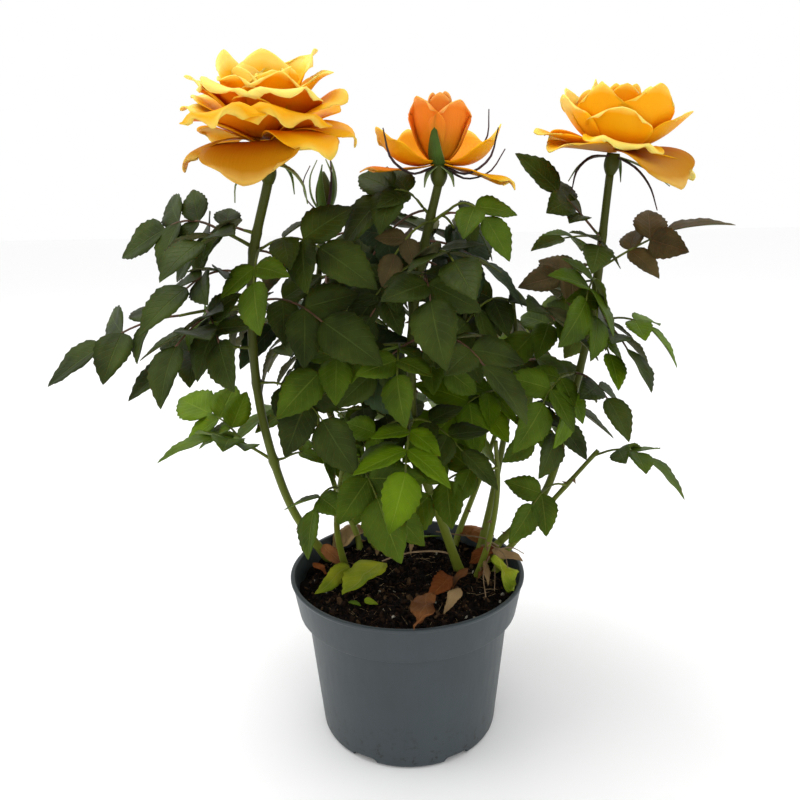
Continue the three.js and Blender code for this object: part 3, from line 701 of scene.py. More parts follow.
UPPER_FACES = {
    # light, dark, veins
    "leaf_dark": (0x384610, 0x202A06, 0x5A6A30),
    "leaf_blue": (0x36482A, 0x24321A, 0x5E6E48),
    "leaf_green": (0x4A600C, 0x304200, 0x7C8C38),
    "leaf_bright": (0x607C04, 0x405800, 0x8CA238),
    "leaf_lime": (0x748A0C, 0x526800, 0x9CAC48),
    "leaf_young": (0x5C502E, 0x3A321A, 0x7C5E44),
}
UNDER_FACES = {
    "under_grey": (0x62643C, 0x484A2E, 0x7E7C58),
    "under_green": (0x6A7C34, 0x506220, 0x8A9850),
}
SKINS = list(UPPER_FACES)
LEAF_MATERIALS = [leaf_material(name, *colors) for name, colors in UPPER_FACES.items()]
LEAF_MATERIALS += [leaf_material(name, *colors, 0.6, 0.0003) for name, colors in UNDER_FACES.items()]
print("leaf materials:", [m.name for m in LEAF_MATERIALS])

# %% Which leaf is which colour
TINTS = [
    # from this height up: shares of the skins, in the order of UPPER_FACES
    (236, (0.4, 0.26, 0.14, 0.0, 0.0, 0.2)),
    (206, (0.46, 0.24, 0.26, 0.0, 0.0, 0.04)),
    (184, (0.24, 0.14, 0.48, 0.14, 0.0, 0.0)),
    (158, (0.04, 0.0, 0.46, 0.48, 0.02, 0.0)),
    (0, (0.0, 0.0, 0.25, 0.6, 0.15, 0.0)),
]
# sprays that get more or less sun than others at their height
OWN_SKINS = {
    "left_hanging": "leaf_bright", "left_low": "leaf_bright", "right_side": "leaf_bright",
    "right_front": "leaf_green", "centre_left": "leaf_green", "right_far": "leaf_young",
}
# skins whose under face is grey, and whose stalk is often red
DULL_SKINS = ("leaf_dark", "leaf_blue", "leaf_young")
RED_STALKS = 0.6


def leaf_skin(height, chance):
    shares = next(shares for low, shares in TINTS if height >= low)
    pick = chance() * sum(shares)
    for slot, share in enumerate(shares):
        pick -= share
        if pick <= 0:
            return slot
    return 0


# %% [markdown]
# ## Leaflets
# A leaflet is oval with a drawn-out tip and a toothed edge. It folds up a little along its midrib,
# curls down towards its tip, and puffs up between its veins.

# %% Shape of a leaflet
LEAFLET_SHEET = sheet_template(16, 4)
LEAFLET_SHEET["faces"] = LEAFLET_SHEET["faces"][:, ::-1]  # its side is to its right, which mirrors it
TEETH = {"rows": 16, "out": 0.04, "forward": 0.012}
OUTLINE = {"full": 2.7, "foot": 0.62, "tip": 1.05}
RIPPLE = {"height": 0.012, "waves": 14}


def leaflet_points(leaflet, ripple):
    u, v, layer = (LEAFLET_SHEET[key] for key in ("u", "v", "layer"))
    row = np.round(u * TEETH["rows"]) % 2
    on_edge = np.abs(v) > 0.99
    width = OUTLINE["full"] * u ** OUTLINE["foot"] * (1 - u) ** OUTLINE["tip"] * LEAFLET["width"] / 2
    width = width * leaflet.get("width", 1)
    half = width * v * np.where(on_edge, 1 + TEETH["out"] * (2 * row - 1), 1)
    ahead = u + np.where(on_edge, TEETH["forward"] * row, 0)
    lift = LEAFLET["fold"] * np.abs(half) - leaflet["curl"] * u * u
    wave = RIPPLE["height"] * np.sin(u * RIPPLE["waves"] + ripple)
    lift = lift + wave * np.abs(v) * np.sin(math.pi * u)
    length = leaflet["length"]
    off = (layer - 0.5) * LEAFLET["thickness"]
    return (
        leaflet["foot"]
        + np.outer(ahead * length, leaflet["along"])
        + np.outer(half * length, leaflet["side"])
        + np.outer(lift * length + off, leaflet["upper"])
    )


# %% Grow every spray
COLOR_SEEDS = {"first": 31, "step": 17}
RIPPLE_PHASE = 6
STEM_TUBE = tube_template(6, 6)
STALK_TUBE = tube_template(5, 8)
SPRAY_GROUPS = {
    "left": ["cane_left", "cane_front_left"],
    "middle": ["cane_bud", "cane_centre"],
    "right": ["cane_right", "cane_inner_right", "cane_low_right", "cane_front_right"],
    "back": ["cane_back", "cane_back_left", "cane_back_right"],
}


def add_tube(rods, tube, curve, foot, tip, slot=0):
    rods.add(tube_points(tube, curve, lambda t, angle: foot + (tip - foot) * t), tube, slot)


def build_spray(spray, index, blades, rods):
    add_tube(rods, STEM_TUBE, spray["stem"], SHOOT["foot"], SHOOT["tip"])
    chance = seeded(COLOR_SEEDS["first"] + COLOR_SEEDS["step"] * index)
    for leaf in spray["leaves"]:
        skin = leaf_skin(leaf["stalk"].point(0.5)[2], chance)
        if spray["short"] in OWN_SKINS:
            skin = SKINS.index(OWN_SKINS[spray["short"]])
        dull = SKINS[skin] in DULL_SKINS
        stalk_skin = 1 if dull and chance() < RED_STALKS else 0
        add_tube(rods, STALK_TUBE, leaf["stalk"], LEAF["stalk_foot"], LEAF["stalk_tip"], stalk_skin)
        slots = np.where(LEAFLET_SHEET["under"], len(SKINS) + (0 if dull else 1), skin)
        for leaflet in leaf["leaflets"]:
            blades.add(leaflet_points(leaflet, RIPPLE_PHASE * chance()), LEAFLET_SHEET, slots)


def stalk_material(name, light, dark):
    paint = Paint(name)
    paint.color(paint.ramp(paint.noise(120.0), (0.35, dark), (0.65, light)))
    paint.bump(paint.noise(900.0), 0.0002, 0.5)
    return paint.material


STALK_MATERIALS = [
    stalk_material("stalk_green", 0x626C20, 0x40480E),
    stalk_material("stalk_red", 0x6C4A38, 0x463422),
]
for group, canes in SPRAY_GROUPS.items():
    blades, rods = Joined(), Joined()
    members = [(i, s) for i, s in enumerate(sprays) if s["cane"] in canes]
    for index, spray in members:
        build_spray(spray, index, blades, rods)
    leaf_piece = blades.piece("leaf_blades_" + group, LEAF_MATERIALS, "leaf")
    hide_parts(*[spray["name"] for _, spray in members])
    rods.piece("leaf_stalks_" + group, STALK_MATERIALS, "leaf")

# %% [markdown]
# ## Canes
# A rose cane is green and smooth when young, with flat thorns that point down, and a small knuckle
# where each shoot leaves it. Below each bloom the cane swells into the hip, and five narrow sepals
# stand round it. Each cane is one tube along its curve, whose radius holds the knuckles.

# %% Cane material
def cane_material():
    paint = Paint("cane_bark")
    green = paint.ramp(
        paint.height_share(0.08, 0.29), (0.0, 0x76802A), (0.2, 0x58621C), (0.55, 0x444A0E), (1.0, 0x3C4208),
    )
    blush = paint.ramp(paint.noise(38.0, 4.0), (0.55, 0x000000), (0.72, 0xFFFFFF))
    streaked = paint.mix(0.5, green, paint.mix(1.0, green, 0xC89878, "MULTIPLY"))
    paint.color(paint.mix(blush, green, streaked))
    paint.bump(paint.noise(1400.0, 2.0), 0.0002, 0.6)
    return paint.material


CANE_BARK = cane_material()
THORN_SKIN = stalk_material("thorn", 0x7A6240, 0x54402A)

# %% Cane shapes
CANE_TUBE = tube_template(14, 96)
THORN_SHAPE = tube_template(6, 4)
SWELLING_TUBE = tube_template(16, 14)
SUNK = 1.5  # how deep a hip or a bud starts in its cane
# length, share of its radius left at the top, and where sepals leave it: share of its radius, height
HIP = {"length": 8, "top": 0.8, "sepals_out": 0.5, "sepals_up": 6.4}
BUD = {"length": 21, "top": 0.15, "sepals_out": 0.62, "sepals_up": 2}
KNUCKLE = {"length": 2.2, "out": 0.16}
THORN = {
    "lowest": 0.12, "spread": 0.75, "length": 2.6, "lean": 0.35, "sunk": 0.7, "least": 0.05, "thin": 0.8,
    "flat": 0.5, "taper": 1.6,
}


def tip_frame(cane_name, lean=(0, 0)):
    axis = unit(np.array([lean[0], lean[1], 1.0]))
    across = unit(np.cross([0, 1, 0], axis))
    turned = np.array([across, np.cross(axis, across), axis])
    return {"foot": CANE_CURVES[cane_name].point(1), "axes": turned}


def in_frame(place, points):
    return place["foot"] + np.asarray(points, float) @ place["axes"]


class Line(Curve):
    def __init__(self, start, end):
        self.start, self.end = start, end

    def point(self, t):
        return self.start + (self.end - self.start) * t


def add_swelling(rods, cane, place, widest, shape):
    line = Line(in_frame(place, (0, 0, -SUNK)), in_frame(place, (0, 0, shape["length"])))

    def radius(t, angle):
        if t < 0.5:
            return cane["tip"] + (widest - cane["tip"]) * math.sin(math.pi * t)
        return widest * (1 - (1 - shape["top"]) * (2 * t - 1) ** 2)

    rods.add(tube_points(SWELLING_TUBE, line, radius), SWELLING_TUBE)


def cane_profile(cane_name):
    """The cane's radius for each t and angle: its taper, and a knuckle at each shoot."""
    cane, curve = CANES[cane_name], CANE_CURVES[cane_name]
    knuckles = [share_at_height(curve, row[1]) for row in SPRAYS[cane_name]]
    span = curve.point(1)[2] - curve.point(0)[2]

    def radius(t, angle):
        bumps = sum(math.exp(-(((t - k) * span / KNUCKLE["length"]) ** 2)) for k in knuckles)
        ridge = 0.03 * math.sin(5 * angle + 9 * t)
        return cane_radius(cane, t) * (1 + KNUCKLE["out"] * bumps + ridge)

    return radius


def add_thorns(rods, cane_name, seed):
    cane, curve = CANES[cane_name], CANE_CURVES[cane_name]
    chance = seeded(seed)

    def radius_at(t, angle):
        across = THORN["thin"] + THORN["flat"] * math.cos(angle) ** 2
        return THORN["least"] + across * (1 - t) ** THORN["taper"]

    for i in range(2 + int(cane["foot"] * 2)):
        t = THORN["lowest"] + THORN["spread"] * chance()
        along, upper = axes(curve.tangent(t), direction(360 * chance(), 0))
        edge = upper * cane_radius(cane, t)
        out = unit(upper - along * THORN["lean"])
        thorn = Line(curve.point(t) + edge * THORN["sunk"], curve.point(t) + edge + out * THORN["length"])
        rods.add(tube_points(THORN_SHAPE, thorn, radius_at), THORN_SHAPE, 1)


# %% Sepals
SEPAL_SHEET = sheet_template(10, 2)
SEPAL = {"thickness": 0.4, "steps": 3, "least": 0.16, "cup": 0.3}
SEPALS = {
    # azimuth, angle from upright at the foot and at the tip, length, width, skin of the back
    "cane_left": [
        (-20, 100, 165, 24, 3.6, 0), (130, 95, 150, 24, 3.6, 0), (-150, 104, 172, 22, 2.4, 0),
        (60, 100, 168, 24, 3, 0),
    ],
    "cane_centre": [
        (-106, 52, -20, 24, 8.0, 0), (-146, 104, 18, 37, 3.2, 2), (-36, 104, 16, 37, 3.2, 2),
        (-12, 76, 2, 34, 3.4, 2), (-22, 116, 34, 33, 3.0, 2), (-140, 120, 165, 11, 4.4, 0),
        (-46, 118, 160, 11, 4.4, 0),
    ],
    "cane_right": [
        (-164, 96, 172, 26, 3.6, 2), (-40, 112, 150, 32, 3.0, 2), (-18, 104, 120, 27, 4.2, 0),
        (60, 100, 140, 24, 3.2, 0), (140, 100, 150, 24, 3.2, 0),
    ],
    "cane_bud": [
        *[(72 * i - 100, 26 - 4 * (i % 2), -32 + 6 * (i % 3), 24 + 2 * (i % 3), 5.0, 0) for i in range(5)],
        (184, 44, -26, 25, 1.6, 2), (-60, 30, -4, 27, 1.6, 2),
    ],
}


def sepal_points(sepal, place, out, up):
    azimuth, opens, ends, length, width, _ = sepal
    way = math.radians(azimuth)
    stops = []
    for i in range(SEPAL["steps"] + 1):
        stops.append(in_frame(place, (out * math.cos(way), out * math.sin(way), up)))
        angle = math.radians(opens + (ends - opens) * i / (SEPAL["steps"] - 1))
        out += math.sin(angle) * length / SEPAL["steps"]
        up += math.cos(angle) * length / SEPAL["steps"]
    curve = Smooth(stops)
    across = np.array([-math.sin(way), math.cos(way), 0]) @ place["axes"]
    u, v, layer = (SEPAL_SHEET[key] for key in ("u", "v", "layer"))
    points = np.zeros((len(u), 3))
    for i in range(len(u)):
        face = unit(np.cross(curve.tangent(u[i]), across))
        half = width / 2 * (0.72 + 0.5 * math.sin(3 * u[i])) * (1 - u[i]) ** 1.1 + SEPAL["least"]
        lift = SEPAL["cup"] * half * v[i] ** 2 + (layer[i] - 0.5) * SEPAL["thickness"]
        points[i] = curve.point(u[i]) + across * (half * v[i]) + face * lift
    return points


def add_sepals(blades, rows, place, out, up):
    for sepal in rows:
        back = sepal[-1]
        slots = np.where(SEPAL_SHEET["under"], back, max(back, 1))
        blades.add(sepal_points(sepal, place, out, up), SEPAL_SHEET, slots)


# %% Bloom places
LEANS = {"cane_left": (0.04, -0.2), "cane_centre": (0.02, -0.03), "cane_right": (0.1, -0.1)}
SEPAL_MATERIALS = [
    leaf_material("sepal_back", 0x4E6A24, 0x34421C, 0x6A8440),
    leaf_material("sepal_face", 0x8C9A68, 0x66784A, 0xA8B488, 0.6),
    leaf_material("sepal_dark", 0x4A3438, 0x2C2420, 0x5A4440),
]

# %% Build the canes
THORN_SEEDS = {"first": 101, "step": 7}

for number, (name, cane) in enumerate(CANES.items()):
    rods = Joined()
    points = tube_points(CANE_TUBE, CANE_CURVES[name], cane_profile(name))
    points[:, 2] = np.maximum(points[:, 2], CANE_START)
    rods.add(points, CANE_TUBE)
    add_thorns(rods, name, THORN_SEEDS["first"] + THORN_SEEDS["step"] * number)
    place = tip_frame(name, LEANS.get(name, (0, 0)))
    for kind, shape in (("hip", HIP), ("bud", BUD)):
        if kind in cane:
            add_swelling(rods, cane, place, cane[kind], shape)
            sepals = Joined()
            add_sepals(sepals, SEPALS[name], place, cane[kind] * shape["sepals_out"], shape["sepals_up"])
            sepals.piece(name.replace("cane", "sepals"), SEPAL_MATERIALS, "leaf")
    piece = rods.piece("bark_" + name, [CANE_BARK, THORN_SKIN], "cane")
    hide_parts(name)

# %% [markdown]
# ## Petals
# A rose petal has a narrow claw, a broad round blade that is cupped like a spoon, and a margin that
# rolls back and ruffles as the bloom ages. A bloom is whorls of such petals, upright in its heart and
# spread or hanging outside. Each petal is a thin plate that is bent by those few numbers.

# %% Petal material
def petal_material(name, base, middle, rim, margin):
    paint = Paint(
        name, 0.55, 0.12, Subsurface_Weight=0.32, Subsurface_Scale=0.003, Subsurface_Radius=(1.0, 0.45, 0.1),
    )
    u, v = paint.leaf_place()
    wander = paint.math("MULTIPLY", paint.math("SUBTRACT", paint.noise(70.0), 0.5), 0.2)
    edge = paint.math("MULTIPLY", paint.math("POWER", paint.math("ABSOLUTE", v), 8.0), u)
    place = paint.math("ADD", paint.math("MAXIMUM", u, edge), wander)
    paint.color(paint.ramp(place, (0.25, base), (0.62, middle), (margin, middle), (margin + 0.12, rim)))
    stretch = paint.node("Mapping", Vector=paint.node("TexCoord").outputs["UV"], Scale=(2.0, 26.0, 1.0))
    paint.bump(paint.noise(1.0, 2.0, 0.5, stretch.outputs[0]), 0.0005, 0.3)
    return paint.material


PETAL_MATERIALS = [
    petal_material("petal_gold", 0xEC9400, 0xF2A606, 0xF6CC58, 0.88),
    petal_material("petal_pale", 0xF4A000, 0xFABC1C, 0xFADA6C, 0.74),
    petal_material("petal_orange", 0xBC7810, 0xE68020, 0xF0A450, 0.88),
    # painted shade: this skin and the next are darker copies of the gold and the pale, for the under faces
    # of petals, which the bloom shades
    petal_material("shaded_underside_gold", 0xD08400, 0xE4A008, 0xF2C454, 0.86),
    petal_material("shaded_underside_orange", 0xD86C00, 0xE88404, 0xF6B838, 0.8),
    # painted shade: a darker, duller gold for the hanging petals and the backs of drooping ones, which lie
    # in the shadow of the petals above
    petal_material("petal_shade", 0xA86200, 0xB87E06, 0xD6A648, 0.84),
]
GOLD, PALE, ORANGE, UNDER_SHADED, UNDER_SHADED_ORANGE, SHADE = range(6)

# %% Shape of a petal
PETAL_ALONG, PETAL_ACROSS = 16, 14
PETAL_SHEET = sheet_template(PETAL_ALONG, PETAL_ACROSS)
PETAL = {"foot": 2.6, "thickness": 0.5, "twist": 18, "steps": 60}
WIDEST = 0.64  # where a petal's claw has widened into its full blade


def petal_shape(u):
    claw = 0.28 + 0.72 * np.sin(math.pi / 2 * np.minimum(1, u / WIDEST))
    past = np.maximum(0, (u - WIDEST) / (1 - WIDEST))
    return claw * np.sqrt(1 - 0.62 * past**2)


def smooth_step(low, high, x):
    t = np.clip((x - low) / (high - low), 0, 1)
    return t * t * (3 - 2 * t)


def petal_grid(petal, chance):
    """The petal's middle surface in its bloom's frame, at each (u, v) of the sheet."""
    s = np.linspace(0, 1, PETAL["steps"] + 1)
    turn = petal["opens"] + (petal["ends"] - petal["opens"]) * s + petal["roll"] * smooth_step(0.72, 1, s)
    turn = np.radians(turn)
    step = petal["length"] / PETAL["steps"]
    between = (turn[1:] + turn[:-1]) / 2
    out = PETAL["foot"] + np.concatenate([[0], np.cumsum(np.sin(between) * step)])
    up = petal["lift"] + np.concatenate([[0], np.cumsum(np.cos(between) * step)])
    places = np.linspace(0, 1, PETAL_ALONG + 1), np.linspace(-1, 1, PETAL_ACROSS + 1)
    u, v = np.meshgrid(*places, indexing="ij")
    cut = u * (1 - 0.16 * (u * v) ** 2 - 0.07 * u**3 * np.abs(v))
    at_out, at_up, at_turn = (np.interp(cut, s, line) for line in (out, up, turn))
    half = petal["width"] * petal_shape(u) * v
    bend = np.maximum(petal["wrap"], 0.6 * np.abs(at_out))
    side = bend * np.sin(half / bend)
    inward = bend * (1 - np.cos(half / bend)) * petal["cup"]
    waves, phase = 1.8 + 2.4 * chance(), 6.3 * chance()
    twist = math.radians(PETAL["twist"] * (chance() - 0.5))
    ripple = petal["ruffle"] * np.maximum(np.abs(v), u) ** 3 * u * np.sin(v * waves + phase)
    curled = petal["roll"] / 60 * 3 * smooth_step(0.55, 1, np.abs(v)) * smooth_step(0.3, 0.85, u)
    off = inward + ripple - curled + side * math.sin(twist)
    flat = at_out - np.cos(at_turn) * off
    high = at_up + np.sin(at_turn) * off
    a = math.radians(petal["azimuth"])
    x = flat * math.cos(a) - side * math.sin(a)
    y = flat * math.sin(a) + side * math.cos(a)
    return np.stack([x, y, high], axis=2)


def add_petal(petals, petal, place, chance):
    grid = petal_grid(petal, chance)
    normal, sheet = sheet_normals(grid), PETAL_SHEET
    i = np.round(sheet["u"] * PETAL_ALONG).astype(int)
    j = np.round((sheet["v"] + 1) / 2 * PETAL_ACROSS).astype(int)
    off = ((sheet["layer"] - 0.5) * PETAL["thickness"])[:, None]
    points = in_frame(place, grid[i, j] + normal[i, j] * off + [0, 0, HIP["length"] + GAP])
    petals.add(points, sheet, np.where(sheet["under"], petal["back"], petal["skin"]))


# %% The whorls of each bloom
WHORL = [
    "petals", "length", "width", "opens", "ends", "azimuth", "lift", "cup", "wrap", "roll", "ruffle",
    "skin", "back",
]
BLOOMS = {
    "bloom_left": [
        (3, 22, 9, 16, -16, 30, 11, 1.0, 7, 0, 0.6, PALE, GOLD),
        (5, 27, 13, 28, 4, 75, 10, 1.0, 12, 20, 1.2, PALE, PALE),
        (2, 31, 14, 34, 26, -128, 9, 0.9, 18, 40, 1.4, PALE, GOLD),
        (1, 33, 15, 24, 12, 100, 10, 0.8, 18, 10, 1.4, PALE, PALE),
        (1, 37, 16, 34, 22, 30, 9, 0.8, 18, 20, 1.6, PALE, PALE),
        (1, 36, 16, 34, 18, 150, 9, 0.8, 18, 16, 1.6, PALE, PALE),
        (1, 37, 14, 46, 46, 178, 8, 0.7, 20, 20, 1.2, PALE, PALE),
        (1, 38, 15, 42, 32, 0, 8, 0.7, 20, 30, 1.4, PALE, UNDER_SHADED),
        (1, 34, 18, 46, 50, -62, 9, 0.6, 24, 90, 1.6, PALE, UNDER_SHADED_ORANGE),
        (1, 34, 18, 44, 52, -122, 9, 0.6, 24, 90, 1.6, PALE, UNDER_SHADED_ORANGE),
        (1, 35, 13, 56, 68, 186, 7, 0.4, 24, 40, 1.2, PALE, UNDER_SHADED_ORANGE),
        (1, 35, 14, 56, 58, 160, 7, 0.5, 26, 40, 1.2, PALE, UNDER_SHADED),
        (1, 39, 19, 60, 70, -116, 8, 0.5, 30, 130, 1.8, GOLD, UNDER_SHADED_ORANGE),
        (1, 38, 19, 56, 70, -62, 8, 0.5, 30, 130, 1.8, GOLD, UNDER_SHADED_ORANGE),
        (1, 38, 15, 52, 62, -10, 8, 0.5, 28, 50, 1.8, GOLD, UNDER_SHADED_ORANGE),
        (2, 38, 18, 62, 76, 50, 7, 0.5, 28, 60, 1.6, GOLD, UNDER_SHADED),
        (1, 37, 16, 62, 76, 148, 7, 0.5, 28, 60, 1.6, GOLD, UNDER_SHADED),
        (1, 37, 20, 76, 146, -97, 7, 0.3, 40, 14, 2.0, SHADE, SHADE),
        (1, 36, 15, 66, 118, -38, 9, 0.4, 30, 60, 1.6, GOLD, UNDER_SHADED),
        (1, 39, 12, 62, 118, 0, 9, 0.4, 30, 70, 1.6, GOLD, UNDER_SHADED),
        (1, 38, 9, 76, 140, 198, 7, 0.4, 20, 50, 1.0, SHADE, SHADE),
        (2, 36, 17, 72, 112, 66, 6, 0.4, 30, 50, 1.6, GOLD, UNDER_SHADED),
    ],
    "bloom_centre": [
        (3, 23, 9, 12, -14, -90, 5, 1.0, 9, 0, 0.3, ORANGE, ORANGE),
        (4, 26, 12, 40, -6, -52, 1, 1.0, 13, 40, 0.4, ORANGE, ORANGE),
        (1, 32, 13, 112, 0, -8, 0, 0.9, 16, 20, 0.8, GOLD, UNDER_SHADED),
        (1, 31, 13, 112, 0, 188, 0, 0.9, 16, 20, 0.8, GOLD, UNDER_SHADED),
        (2, 30, 13, 104, 2, 58, 0, 0.9, 16, 20, 0.8, GOLD, UNDER_SHADED),
        (1, 34, 9, 112, 84, -16, -1, 0.5, 16, 60, 0.8, GOLD, SHADE),
        (1, 32, 7, 106, 76, 192, -1, 0.5, 16, 40, 0.8, ORANGE, SHADE),
    ],
    "bloom_right": [
        (3, 17, 7, 16, -22, 0, 5, 1.0, 6, 0, 0.4, PALE, GOLD),
        (5, 25, 10, 28, -12, 12, 4, 1.0, 12, 6, 0.5, PALE, GOLD),
        (6, 30, 12, 48, -4, -40, 3, 1.0, 18, 8, 0.6, PALE, GOLD),
        (1, 34, 14, 78, -4, -130, 2, 0.9, 20, 8, 0.5, GOLD, GOLD),
        (1, 35, 15, 78, -6, -64, 2, 0.9, 20, 8, 0.5, GOLD, GOLD),
        (2, 34, 15, 74, 6, 48, 2, 0.9, 20, 12, 0.6, GOLD, UNDER_SHADED),
        (1, 34, 15, 74, 8, 150, 2, 0.9, 20, 12, 0.6, PALE, UNDER_SHADED),
        (1, 29, 16, 82, 4, -104, 1, 0.9, 22, 50, 0.6, PALE, GOLD),
        (1, 36, 16, 82, 24, -18, 1, 0.8, 22, 10, 0.6, GOLD, UNDER_SHADED),
        (1, 33, 15, 76, 24, 178, 1, 0.8, 22, 10, 0.8, PALE, PALE),
        (1, 25, 17, 84, 80, -94, 2, 0.4, 30, 120, 2.2, PALE, UNDER_SHADED),
        (1, 38, 14, 88, 66, 188, 1, 0.6, 24, 20, 1.2, GOLD, UNDER_SHADED),
        (1, 35, 16, 88, 82, 206, 0, 0.5, 24, 30, 1.2, GOLD, SHADE),
        (1, 38, 19, 84, 132, -50, 1, 0.5, 28, 6, 1.0, SHADE, SHADE),
        (1, 40, 15, 82, 126, 6, 1, 0.5, 26, 10, 1.4, PALE, PALE),
        (2, 34, 17, 82, 90, 70, 1, 0.6, 24, 30, 1.4, GOLD, UNDER_SHADED),
    ],
}

# %% Build the blooms
BLOOM_SEEDS = {"first": 5, "step": 2}
PAIR_SPREAD = 64  # degrees between two petals that are given as a pair
VARIED = {"azimuth": 12, "ends": 12, "smallest": 0.94, "length": 0.1, "width": 0.16}


def build_bloom(name, cane_name, seed):
    place = tip_frame(cane_name, LEANS[cane_name])
    petals, chance = Joined(), seeded(seed)
    for row in BLOOMS[name]:
        whorl = dict(zip(WHORL, row))
        for i in range(whorl["petals"]):
            petal = dict(whorl)
            spread = 360 / whorl["petals"] if whorl["petals"] > 2 else PAIR_SPREAD
            petal["azimuth"] += i * spread + VARIED["azimuth"] * (chance() - 0.5) * (whorl["petals"] > 1)
            petal["length"] *= VARIED["smallest"] + VARIED["length"] * chance()
            petal["width"] *= VARIED["smallest"] + VARIED["width"] * chance()
            petal["ends"] += VARIED["ends"] * (chance() - 0.5)
            add_petal(petals, petal, place, chance)
    piece = petals.piece(name.replace("bloom", "petals"), PETAL_MATERIALS, "petal")
    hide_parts(name)


for number, (name, cane_name) in enumerate(zip(BLOOMS, LEANS)):
    build_bloom(name, cane_name, BLOOM_SEEDS["first"] + BLOOM_SEEDS["step"] * number)

# %% [markdown]
# ## The pot
# A nursery pot is one thin shell of polypropylene: a tapered wall, a wider collar that lets pots stack,
# a flat lip, and arches round the foot where water drains. Its outline is spun round the axis, and the
# arches are cut out of the finished shell.

# %% Pot shape
POT = {
    "rim": 60.0, "height": 85.0, "lip": 2.2, "band": 1.8, "stands": 0.8, "collar": 56.2, "drop": 18.7,
    "slope": 2.4, "wall_radius": 52.0, "foot": 46.0, "round": 2.6, "wall": 1.3, "floor": 2.0, "steps": 160,
    "soft": 0.5,
}
DRAIN = {"count": 6, "first": -120, "width": 14, "height": 3.4, "depth": 6, "round": 2.4}


def pot_outline():
    p = POT
    collar_top, collar_foot = p["height"] - p["band"], p["height"] - p["drop"]
    under = collar_foot - p["slope"]
    inside = p["foot"] - p["wall"]
    corner = [
        (p["foot"] - p["round"] * (1 - math.sin(a)), p["round"] * (1 - math.cos(a)))
        for a in np.linspace(0, math.pi / 2, 6)
    ]
    return [
        (0, 0), *corner, (p["wall_radius"], under), (p["collar"], collar_foot),
        (p["rim"] - p["stands"], collar_top), (p["rim"], collar_top + p["stands"]),
        (p["rim"], p["height"]), (p["rim"] - p["lip"], p["height"]),
        (p["collar"] - p["lip"], collar_foot), (p["wall_radius"] - p["wall"], under - p["wall"]),
        (inside, p["round"]), (inside - 1.6, p["floor"]), (0, p["floor"]),
    ]


def spun(name, outline, steps):
    shape = bmesh.new()
    verts = [shape.verts.new((r * MM, 0, z * MM)) for r, z in outline]
    edges = [shape.edges.new(pair) for pair in zip(verts, verts[1:])]
    bmesh.ops.spin(
        shape, geom=verts + edges, cent=(0, 0, 0), axis=(0, 0, 1), angle=math.tau, steps=steps,
        use_merge=True,
    )
    bmesh.ops.remove_doubles(shape, verts=shape.verts[:], dist=1e-6)
    bmesh.ops.recalc_face_normals(shape, faces=shape.faces[:])
    mesh = bpy.data.meshes.new(name)
    shape.to_mesh(mesh)
    shape.free()
    return add_object(name, mesh)


def bake_modifiers(piece):
    ready = piece.evaluated_get(bpy.context.evaluated_depsgraph_get())
    mesh = bpy.data.meshes.new_from_object(ready)
    piece.modifiers.clear()
    piece.data = mesh


pot = spun("pot_shell", pot_outline(), POT["steps"])
rounded = pot.modifiers.new("soft_edges", "BEVEL")
rounded.width = POT["soft"] * MM
rounded.segments = 3
rounded.angle_limit = math.radians(20)
bake_modifiers(pot)
arch = bmesh.new()
bmesh.ops.create_cube(arch, size=1)
arch_size = (2 * DRAIN["depth"] * MM, DRAIN["width"] * MM, 2 * DRAIN["height"] * MM)
bmesh.ops.scale(arch, vec=arch_size, verts=arch.verts[:])
radial = [e for e in arch.edges if abs(e.verts[0].co.x - e.verts[1].co.x) > 1e-6]
shoulders = [e for e in radial if e.verts[0].co.z > 0]
bmesh.ops.bevel(
    arch, geom=shoulders, offset=DRAIN["round"] * MM, segments=5, profile=0.5, affect="EDGES", material=-1,
)
bmesh.ops.translate(arch, vec=(POT["foot"] * MM, 0, 0), verts=arch.verts[:])
one_arch = bpy.data.meshes.new("one_arch")
arch.to_mesh(one_arch)
cutters = bmesh.new()
for i in range(DRAIN["count"]):
    one_arch.transform(Matrix.Rotation(math.radians(360 / DRAIN["count"] if i else DRAIN["first"]), 4, "Z"))
    cutters.from_mesh(one_arch)
arch_mesh = bpy.data.meshes.new("drain_arches")
cutters.to_mesh(arch_mesh)
arches = add_object("drain_arches", arch_mesh)
cut = pot.modifiers.new("drains", "BOOLEAN")
cut.object = arches
cut.solver = "EXACT"
bake_modifiers(pot)
bpy.data.objects.remove(arches)
pot.data.shade_smooth()
pot.data.set_sharp_from_angle(angle=math.radians(35))


# %% Pot material
def pot_material():
    paint = Paint("pot_plastic", 0.42, 0.4)
    cloud = paint.noise(14.0, 5.0, 0.6)
    plain = paint.ramp(cloud, (0.35, 0x2E363A), (0.7, 0x353F43))
    low = paint.height_share(0.03, 0.0)
    grit = paint.noise(260.0, 5.0, 0.7)
    dirt = paint.math("MULTIPLY", paint.ramp(grit, (0.56, 0x000000), (0.64, 0xFFFFFF)), low)
    paint.color(paint.mix(dirt, plain, 0x1E1712))
    scuffs = paint.node("Mapping", Vector=paint.object_place(), Scale=(1.0, 1.0, 0.16))
    fine = paint.noise(300.0, 6.0, 0.7, scuffs.outputs[0])
    paint.rough(fine, 0.34, 0.58)
    paint.bump(fine, 0.00012, 0.5)
    return paint.material


pot.data.materials.clear()
pot.data.materials.append(pot_material())
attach(pot, "root")
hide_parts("pot")
print("pot:", len(pot.data.polygons), "faces")

# %% [markdown]
# ## The compost
# Peat compost is nearly black when damp: crumbs of every size, brown fibres and bits of bark, and a few
# pale grains. Its surface is a disc of rings that is pushed up and down by noise, and the crumbs and
# fibres are strewn on it by arrays.

